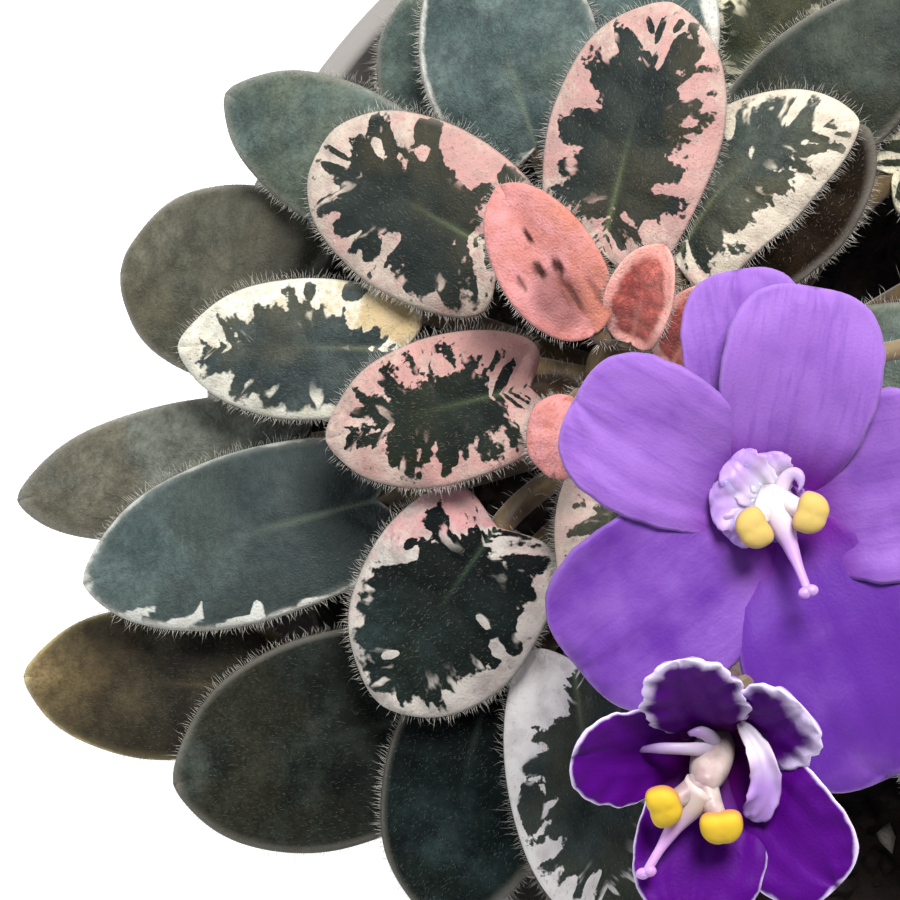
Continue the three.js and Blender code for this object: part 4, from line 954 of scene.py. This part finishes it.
petalPaints = {
    "open": dict(heart=(100, 22, 134), deep=(88, 38, 142), light=(142, 97, 185), rim=(168, 130, 204),
        back=(140, 102, 180), rimWidth=0.5, rimShare=0.35, sheen=0.18, gloss=0.18),
    "fresh": dict(heart=(78, 0, 84), deep=(70, 0, 112), light=(82, 4, 124), rim=(230, 214, 250),
        back=(160, 130, 206), rimWidth=0.46, rimShare=0.95, sheen=0.02, gloss=0.1),
}
petalNoise = {"rays": 1.3, "tone": 0.22, "rim": 0.5, "fine": 3.5}  # steps for each mm
heartReach = (8.5, 2.5)  # mm along the petal where the heart's colour begins and is full


# Violet deepens towards the heart, fine veins run out from it, and the rim pales unevenly
def petalFinish(name, look):
    look = painted(look)
    net = Finish(name, 0.55, Sheen_Weight=look["sheen"], Sheen_Roughness=0.4,
                 Sheen_Tint=(0.86, 0.72, 1.0, 1), Specular_IOR_Level=look["gloss"])
    out, across, seed = net.mark("along"), net.mark("across"), net.mark("seed")
    skinned = net.point(out, across, seed)
    rays = net.cloud(net.point(net.times(out, 0.14), across, seed), petalNoise["rays"], 3.0, 0.6)
    # tone: partly each petal's own colour, partly painted shade on the lower petals
    tone = net.plus(net.mark("tone"), net.less(net.cloud(skinned, petalNoise["tone"], 3.0), 0.5))
    violet = net.blend(net.between(tone, 0.05, 0.95), look["light"], look["deep"])
    violet = net.blend(net.times(net.between(rays, 0.45, 0.75), 0.3), violet, look["deep"])
    violet = net.blend(net.between(out, *heartReach), violet, look["heart"])
    ragged = net.times(net.cloud(skinned, petalNoise["rim"], 3.0), 2.2 * look["rimWidth"])
    ragged = net.times(ragged, net.mark("edging"))
    rim = net.times(net.between(net.mark("margin"), ragged, 0.0), look["rimShare"])
    violet = net.blend(rim, violet, look["rim"])
    net.colour(net.blend(net.between(net.mark("upper"), 0.6, 0.2), violet, look["back"]))
    net.rough(net.plus(net.cloud(skinned, petalNoise["fine"]), rays), 0.1, 0.5)
    return net.material


# Two colours from root to end of a small part, by a mark that runs from low to high, over fine noise
def shadedFinish(name, by, low, high, root, end, scale, roughness, **shaderValues):
    net = Finish(name, roughness, **shaderValues)
    fine = net.cloud(net.place(), scale, 3.0)
    shade = net.plus(net.between(net.mark(by), low, high), net.times(net.less(fine, 0.5), 0.7))
    net.colour(net.blend(shade, paint(root), paint(end)))
    net.rough(fine, 0.08, 0.6)
    return net.material


petalFinishes = {kind: petalFinish(f"{kind} petal", look) for kind, look in petalPaints.items()}
columnFinishes = {
    "open": plainFinish("column", (198, 182, 186), (236, 228, 228), 400, 0.4, 0.05, **glow(0.25)),
    "fresh": plainFinish("beige column", (164, 138, 142), (206, 192, 184), 300, 0.45, 0.05, **glow(0.2)),
}
petaloidFinish = shadedFinish("petaloid", "along", 1.5, 6.5, (214, 202, 218), (168, 132, 204), 500, 0.45,
                              **glow(0.3))
pollenFinishes = {
    "open": shadedFinish("pale pollen sac", "face", -0.1, 0.7, (198, 156, 132), (202, 174, 92), 700, 0.7),
    "fresh": shadedFinish("pollen sac", "face", -0.1, 0.7, (200, 140, 72), (214, 178, 34), 700, 0.7),
}
styleFinishes = {
    "open": shadedFinish("style", "share", 0.1, 0.7, (230, 222, 230), (190, 146, 212), 400, 0.4,
                         **glow(0.2)),
    "fresh": shadedFinish("beige style", "share", 0.1, 0.7, (204, 188, 182), (196, 146, 214), 400, 0.4,
                          **glow(0.2)),
}


# Folds in mm: shallow pleats fan out from the throat, and a crimp grows to the margin
def petalLift(blade, t, v, flat):
    pleats = grain(5 * v + 9, flat["along"] / 9, blade["seed"]) - 0.5
    roll = grain(flat["along"] / 5, flat["across"] / 5, blade["seed"] + 5) - 0.5
    crimp = blade["crimp"] * np.sin(2 * np.pi * 7 * t + 2 * blade["seed"]) * np.abs(v) ** 3
    return (0.5 * pleats + 0.7 * roll) * ease(0, 0.3, t) + crimp


# The margin's distance in mm also counts from the tip, so that the pale rim runs round the whole lobe
def petalMarks(blade, t, v, flat):
    margin = np.minimum((1 - np.abs(v)) * flat["halfWidth"], 0.75 * (blade["length"] - flat["along"]))
    return {"along": flat["along"] + 0 * v, "across": flat["across"], "margin": margin,
            "tone": blade["tone"] + 0 * margin, "edging": blade["edging"] + 0 * margin,
            "seed": blade["seed"] + 0 * margin}


# A petal's spine is two straight steps at the opening's slopes, up from the throat, rounded into one arc
def petalShape(petal, opening, seed):
    out = heading(math.radians(petal["angle"]))
    steps = [petal["length"] / 2 * (math.cos(slope) * out + math.sin(slope) * up)
             for slope in np.radians(opening)]
    start = -0.8 * up
    middle = start + steps[0] + petal["rise"] * up
    spine = [start, middle, middle + steps[1]]
    side = np.cross(up, out)
    reach = pathLength(bezier(spine, np.linspace(0, 1, 40))[0])
    blade = {**petalBlade, **petal, "seed": seed, "length": reach}
    return bladeShape(spine, side, blade, petalLift, petalMarks)


# The least turn that takes +Z to the bloom's facing, as the rows of a matrix (Rodrigues' formula)
def bloomAxes(bloom):
    tilt, toward = math.radians(bloom["tilt"]), math.radians(bloom["toward"])
    kx, ky = -math.sin(toward), math.cos(toward)
    cross = np.array([[0, 0, ky], [0, 0, -kx], [-ky, kx, 0]])
    return np.eye(3) + math.sin(tilt) * cross + (1 - math.cos(tilt)) * cross @ cross


# Shapes turned from the bloom's own axes and moved to its throat
def placed(bloom, shapes):
    axes = bloomAxes(bloom)
    return [{**shape, "points": shape["points"] @ axes.T + np.array(bloom["throat"])} for shape in shapes]


# Directions that none of the tubes follows, for their rings to start from
tubeSides = {"bloom": np.array([0.13, 0.97, 0.2]), "stalk": np.array([0.21, 0.3, 0.93])}


# Radii run from foot to tip; share goes from 0 to 1 along the tube
def tube(control, radii, count, flatness=1.0):
    line = np.linspace(0, 1, 15)
    centres, tangents = bezier(control, line)
    width = np.interp(line, np.linspace(0, 1, len(radii)), radii)
    share = np.broadcast_to(line[:, None], (len(line), count))
    return pipe(centres, tangents, tubeSides["bloom"], width, count, flatness, share=share)


# Ball from latitude rings: radius is multiplied by a shape function of (latitude, longitude)
def ball(centre, size, form=None, rows=16, count=24):
    lat = np.pi * (np.arange(1, rows) / rows)[:, None]
    lon = 2 * np.pi * (np.arange(count) / count)[None, :]
    swell = 1.0 if form is None else form(lat, lon)
    rings = np.stack([np.sin(lat) * np.cos(lon), np.sin(lat) * np.sin(lon), np.cos(lat) + 0 * lon], -1)
    rings = rings * np.reshape(swell * np.ones(rings.shape[:2]), rings.shape[:2] + (1,)) * size + centre
    return skin(rings, rings[0].mean(0) + 0.1 * up * size, rings[-1].mean(0) - 0.1 * up * size)


# The throat is a short pipe with a narrow foot in the calyx, and the petals spring from its flared mouth
def throatShape():
    foot, radius, bore = -throat["depth"] - 0.6, throat["radius"], throat["bore"]
    wall = [(bore - 0.3, foot), (bore, foot), (bore + 0.25, foot + 0.5), (radius - 0.25, foot + 1.2),
            (radius - 0.05, foot + 2), (radius, foot + 3), (radius, 0.2), (radius + 0.5, 0.9),
            (bore + 0.5, 1.1), (bore, 0.2), (bore - 0.1, foot + 1.5)]
    return wallSkin(latheRings(wall, 32))


# The column's neck, and a filament from its top to each pollen sac
def columnShapes(bloom):
    top = np.array(bloom["columnTop"], float)
    neck = tube([(0, 0, -throat["depth"]), (0, 0, top[2] / 2), top + (0, 0, 0.6)],
                [1.4, 1.7, 1.9, 1.7, 1.0], 20)
    sacs = [np.array(sac[:3], float) for sac in bloom["anthers"]]
    filaments = [tube([top - 0.8 * up, (top + sac) / 2 + 0.6 * up, sac - 0.6 * up], [1.25, 0.95, 0.7], 12)
                 for sac in sacs]
    return [neck, *filaments]


# Petal-like growths round the column: wide ruffled blades on their own spines, and thin curled threads
def petaloidShapes(bloom):
    shapes = []
    for k, petaloid in enumerate(bloom["petaloids"]):
        spine = np.array(petaloid["spine"], float)
        side = unit(np.cross(up, unit(spine[-1] - spine[0])))
        blade = {**petalBlade, "width": petaloid["width"], "thickness": 0.5, "cup": -0.6, "wave": 0.4,
                 "waves": 3, "frill": 0.07, "crimp": 0.25, "rows": 30, "columns": 16, "seed": 5.0 + k,
                 "length": pathLength(spine)}
        shapes.append(bladeShape(spine, side, blade, petalLift, petalMarks))
    for curl in bloom["curls"]:
        thread = tube(curl, [0.75, 0.6, 0.55, 0.25], 10, 0.7)
        thread["marks"] = {"along": 2 + 4 * thread["marks"]["share"]}
        shapes.append(thread)
    return shapes


# The style tapers out of the column and ends in two small lobes
def styleShapes(bloom):
    top, tip = np.array(bloom["columnTop"], float), np.array(bloom["styleTip"], float)
    bend = (top + tip) / 2 * (1, 1, 0) + (0, 0, top[2])
    lobes = [ball(tip + np.array(shift), np.array([0.6, 0.52, 0.45]))
             for shift in ((0.3, 0.1, 0), (-0.28, -0.12, 0))]
    for lobe in lobes:
        lobe["marks"] = {"share": np.ones(len(lobe["points"]))}
    return [tube([top + 0.3 * up, bend + 0.8 * up, tip], [1.7, 1.35, 0.75, 0.42, 0.38], 16), *lobes]


# A pollen sac is a boxy bean: a ball's sines and cosines to a power under 1, bent sideways by x^2 and
# pinched in the middle
def antherShape(sac):
    def boxy(wave):
        return np.sign(wave) * np.abs(wave) ** anther["boxy"]

    lat = np.pi * (np.arange(1, 24) / 24)[:, None]
    lon = 2 * np.pi * (np.arange(44) / 44)[None, :]
    x, y = boxy(np.sin(lat)) * boxy(np.cos(lon)), boxy(np.sin(lat)) * boxy(np.sin(lon))
    z = boxy(np.cos(lat)) + 0 * lon
    pinch = 1 - anther["notch"] * np.exp(-(x / 0.22) ** 2)
    turn = math.radians(sac[3])
    long, wide, high = anther["size"]
    x, y = long * x, wide * (y * pinch + anther["bend"] * (x * x - 0.4))
    rings = np.stack([x * math.cos(turn) - y * math.sin(turn), x * math.sin(turn) + y * math.cos(turn),
                      high * z * pinch], -1) + np.array(sac[:3], float)
    return skin(rings, rings[0].mean(0) + 0.05 * up, rings[-1].mean(0) - 0.05 * up, face=z)


for order, (name, bloom) in enumerate(blooms.items()):
    kind = bloom["finish"]
    petals = [petalShape(petal, bloom["opening"], 10 * order + k) for k, petal in enumerate(bloom["petals"])]
    addPiece(name + "_petals", placed(bloom, [*petals, throatShape()]), petalFinishes[kind],
             [name + "_corolla"])
    addPiece(name + "_heart", placed(bloom, columnShapes(bloom)), columnFinishes[kind],
             [name + "_column"])
    addPiece(name + "_petaloids", placed(bloom, petaloidShapes(bloom)), petaloidFinish)
    addPiece(name + "_style", placed(bloom, styleShapes(bloom)), styleFinishes[kind])
    for k, sac in enumerate(bloom["anthers"], 1):
        addPiece(f"{name}_pollen_{k}", placed(bloom, [antherShape(sac)]), pollenFinishes[kind],
                 [f"{name}_anther_{k}"])
print("blooms")


# Flower stalks: a stalk from the stem to a fork, pedicels to the calyx cups, and a closed bud

stalks = {
    "front_stalk": dict(angle=-62, height=103, knee=(-4.6, -7.6, 105.5), fork=(0, -14, 109),
        budKnee=(6, -19, 107.5), bud=(13.5, -24, 111), blooms=["bloom_1", "bloom_2"]),
    "side_stalk": dict(angle=-30, height=101, knee=(4, -0.5, 107.5), fork=(24, 3, 109),
        budKnee=(29, -1.5, 109.5), bud=(33, -6, 113), blooms=["bloom_3"]),
}
stalkSize = {"radius": 0.95, "pedicel": 0.8, "bud": 2.0, "budStretch": 1.5, "rise": 2.4,
             "uneven": 0.06}


# Stalks are a little uneven: the radius swells by a sine of the step along them
def threadedTube(points, radius):
    centres, tangents = threaded(points, 28)
    swell = 1 + stalkSize["uneven"] * np.sin(np.arange(len(centres)) * 1.7)
    return pipe(centres, tangents, tubeSides["stalk"], np.full(len(centres), radius) * swell, 12)


# Hairs at random steps of a flower stalk, clear of its ends
def threadedHairs(points, radius):
    centres, forward = threaded(points, 200)
    pick = chance.integers(4, 196, hairs["onFlowerStalk"])
    aims = anySide(forward[pick])
    lengths = chance.uniform(0.5, 1.1, len(pick))
    return hairShape(centres[pick] + aims * radius * 0.9, aims, lengths, hairs["fringe"])


# A point on the bloom's axis, at a depth below the throat's foot
def behindCalyx(bloom, depth):
    facing = bloomAxes(bloom)[:, 2]
    return np.array(bloom["throat"]) - facing * (throat["depth"] + crown["clearance"] + depth)


# Cup of the calyx with its narrow sepals, on the bloom's axes
def calyxShapes(bloom, seed):
    rim = -throat["depth"] - crown["clearance"]
    low = rim - calyx["height"]
    profile = [(0.9, low - 0.9), (1.9, low - 0.2), (calyx["radius"], low + 0.6), (calyx["radius"], rim - 0.1),
               (calyx["radius"] - 0.3, rim)]
    cup = skin(latheRings(profile, 24), np.array([0, 0, low - 1.2]), np.array([0, 0, rim]))
    sepals = []
    for k in range(calyx["sepals"]):
        angle = 360 * (k + 0.5) / calyx["sepals"]
        shape = petalShape({**sepal, "angle": angle}, (0, calyx["droop"]), seed + k)
        sepals.append({**shape, "points": shape["points"] + up * (rim - 0.4)})
    return placed(bloom, [cup, *sepals])


# A bud is an egg with five shallow furrows where its petals fold in
def budShape(centre):
    def furrows(lat, lon):
        return 1 - 0.06 * np.cos(5 * lon + 2 * lat) * np.sin(lat)

    size = stalkSize["bud"] * np.array([1, 1, stalkSize["budStretch"]])
    return ball(np.array(centre, float), size, furrows, 20, 40)


for name, stalk in stalks.items():
    out, height = heading(math.radians(stalk["angle"])), stalk["height"]
    foot = stemAxis(height) + out * (stemRadius(height) - 0.4)
    main = [foot, foot + out * stalkSize["rise"], stalk["knee"], stalk["fork"]]
    carried = [blooms[bloomName] for bloomName in stalk["blooms"]]
    branches = [[stalk["fork"], behindCalyx(bloom, 5), behindCalyx(bloom, calyx["height"])]
                for bloom in carried]
    branches.append([stalk["fork"], stalk["budKnee"], stalk["bud"]])
    tubes = [threadedTube(main, stalkSize["radius"])]
    tubes += [threadedTube(branch, stalkSize["pedicel"]) for branch in branches]
    tubes += [shape for k, bloom in enumerate(carried) for shape in calyxShapes(bloom, 40 + 9 * k)]
    addPiece(name + "_skin", tubes, youngStalkFinish, [name])
    addPiece(name + "_bud", [budShape(stalk["bud"])], petalFinishes["open"])
    tufts = [threadedHairs(path, stalkSize["pedicel"]) for path in [main, *branches]]
    addPiece(name + "_hairs", tufts, hairFinish)
print("flower stalks")


# Pot: a lathe profile with rounded lip and step, and round drain holes cut through the floor

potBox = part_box("pot")
pot = {"height": potBox[1].z / mm, "rim": potBox[1].x / mm, "base": 38, "wall": 1.8, "floor": 2, "band": 14,
       "step": 1.6, "lip": 0.9, "holes": 6, "holeRadius": 3.5, "holeCircle": 25, "sides": 160}


# The pot's wall widens evenly from base to rim
def wallRadius(height):
    return np.interp(height, [0, pot["height"]], [pot["base"], pot["rim"] - pot["step"]])


# A quarter round from one direction to another about a centre, as profile points
def arc(centre, radius, start, end):
    turn = np.radians(np.linspace(start, end, 7))
    return [(centre[0] + radius * math.cos(a), centre[1] + radius * math.sin(a)) for a in turn]


# Points of the wall, from the underside up the outside, over the lip and down the inside to the floor
def potProfile():
    shoulder, lip, rim, wall = pot["height"] - pot["band"], pot["lip"], pot["rim"], pot["wall"]
    outside = wallRadius(shoulder + 2) + pot["step"]
    return [
        (pot["base"] - 1.2, 0), *arc((pot["base"] - 1.2, 1.2), 1.2, -80, 0),
        (wallRadius(shoulder), shoulder), (wallRadius(shoulder) + 0.4, shoulder + 0.3),
        *arc((outside - 0.6, shoulder + 1.4), 0.6, -80, 0), (outside + 0.1, shoulder + 3),
        (rim - 0.1, pot["height"] - 3), *arc((rim - lip, pot["height"] - lip), lip, 0, 90),
        *arc((rim - wall, pot["height"] - lip), lip, 90, 180),
        (outside - wall, shoulder + 3), (wallRadius(shoulder) - wall, shoulder + 1),
        (wallRadius(pot["floor"]) - wall, pot["floor"] + 1),
        (wallRadius(pot["floor"]) - wall - 1, pot["floor"]),
    ]


def addPot():
    net = Finish("grey plastic", 0.42, Specular_IOR_Level=0.4)
    spots = net.cloud(net.place(), 40, 3.0)
    grey = net.blend(net.between(spots, 0.2, 0.8), paint((146, 142, 138)), paint((152, 148, 145)))
    scuffs = net.between(net.cloud(net.place(), 900, 3.0), 0.6, 0.75)
    net.colour(net.blend(net.times(scuffs, 0.12), grey, paint((122, 118, 112))))
    net.rough(net.cloud(net.place(), 1500, 2.0), 0.05, 0.4)
    rings = latheRings(potProfile(), pot["sides"])
    shell = skin(rings, np.array([0, 0, 0.0]), np.array([0, 0, float(pot["floor"])]))
    piece = addPiece("pot_shell", [shell], net.material, ["pot"])
    holes = []
    for k in range(pot["holes"]):
        centre = heading(2 * math.pi * (k + 0.5) / pot["holes"]) * pot["holeCircle"]
        drum = latheRings([(pot["holeRadius"], -4), (pot["holeRadius"], 4)], 32) + centre
        holes.append(skin(drum, centre - 4 * up, centre + 4 * up))
    whole = gather(holes)
    cutter = newObject("drain holes", whole["points"], whole["quads"].tolist() + whole["tris"].tolist())
    cut = piece.modifiers.new("drain holes", "BOOLEAN")
    cut.object = cutter
    cut.solver = "EXACT"
    finished = bpy.data.meshes.new_from_object(piece.evaluated_get(bpy.context.evaluated_depsgraph_get()))
    centres, facings = (np.zeros(3 * len(finished.polygons)) for _ in range(2))
    finished.polygons.foreach_get("center", centres)
    finished.polygons.foreach_get("normal", facings)
    x, y, z = centres.reshape(-1, 3).T / mm
    level = np.abs(facings.reshape(-1, 3)[:, 2]) > 0.99
    flat = (z < pot["floor"] + 0.1) & (level | (np.hypot(x, y) < pot["holeCircle"] + pot["holeRadius"] + 0.1))
    finished.polygons.foreach_set("use_smooth", ~flat)
    piece.modifiers.clear()
    piece.data = finished
    bpy.data.objects.remove(cutter)


addPot()
print("pot")


# Potting mix: a lumpy mound inside the wall, with loose crumbs and a few pale grains on it

soil = {"top": 75, "mound": 1.5, "lump": 0.9, "crumbs": 1500, "crumbSize": (0.4, 1.4), "pale": 0.035,
        "bore": 1.2, "sides": 180, "rings": 48}


# The mound falls to the wall, with waves round the middle and two sizes of clods
def soilHeight(x, y):
    radius = np.hypot(x, y)
    turn = np.arctan2(x, -y)
    edge = wallRadius(pot["height"] - pot["band"]) - pot["wall"]
    crumble = soil["lump"] * np.sin(0.31 * radius + 3 * turn) * np.sin(5 * turn - 0.17 * radius)
    fine = 0.9 * grain(x / 2.2, y / 2.2, 1) + 0.5 * grain(x / 0.9, y / 0.9, 2) - 0.6
    return soil["top"] + soil["mound"] * (1 - radius / edge) + crumble * ease(2, 9, radius) + fine


def addSoil():
    net = Finish("potting mix", 0.95)
    clods = net.cloud(net.place(), 420, 5.0, 0.7)
    brown = net.blend(net.between(clods, 0.3, 0.7), paint((13, 9, 7)), paint((42, 31, 23)))
    net.colour(net.blend(net.mark("pale"), brown, paint((176, 168, 154))))
    net.rough(net.cloud(net.place(), 1400, 4.0, 0.7), 0.4)
    edge = wallRadius(pot["height"] - pot["band"]) - pot["wall"] - crown["clearance"]
    low = wallRadius(pot["floor"]) - pot["wall"] - crown["clearance"]
    turn = 2 * np.pi * np.arange(soil["sides"]) / soil["sides"]
    radii = np.linspace(edge, soil["bore"], soil["rings"])[:, None]
    x, y = radii * np.cos(turn), radii * np.sin(turn)
    top = np.stack([x, y, soilHeight(x, y)], -1)
    floor = pot["floor"] + crown["clearance"]
    sides = [np.stack([r * np.cos(turn), r * np.sin(turn), z + 0 * turn], -1)
             for r, z in ((low, floor), (edge, pot["height"] - pot["band"]))]
    middle = np.array([0, 0, float(soilHeight(0.0, 0.0))])
    shapes = [skin(np.concatenate([sides, top]), np.array([0, 0, floor]), middle)]
    count = soil["crumbs"]
    spread = (edge - 2) * np.sqrt(chance.uniform(0.02, 1, count))
    angle = chance.uniform(0, 2 * np.pi, count)
    x, y = spread * np.cos(angle), spread * np.sin(angle)
    size = chance.uniform(*soil["crumbSize"], count) ** 1.4
    centres = np.stack([x, y, soilHeight(x, y) + 0.2 * size], -1)
    shapes.append(crumbs(centres, size, chance.uniform(size=count) < soil["pale"]))
    addPiece("potting_mix", shapes, net.material, ["soil"])


# Crumbs are eight-sided stones: the six ends of the axes, each pushed out by its own random length
def crumbs(centres, size, pale):
    axes = np.array([[1, 0, 0], [0, 1, 0], [-1, 0, 0], [0, -1, 0], [0, 0, 1], [0, 0, -1]], float)
    reach = chance.uniform(0.6, 1.2, (len(centres), 6, 1)) * size[:, None, None]
    points = centres[:, None] + axes * reach
    points = points + 0.2 * size[:, None, None] * chance.normal(size=(len(centres), 6, 3))
    faces = [[0, 1, 4], [1, 2, 4], [2, 3, 4], [3, 0, 4], [1, 0, 5], [2, 1, 5], [3, 2, 5], [0, 3, 5]]
    return swarm(points, faces, pale=np.repeat(pale.astype(float), 6))


addSoil()
print("potting mix")
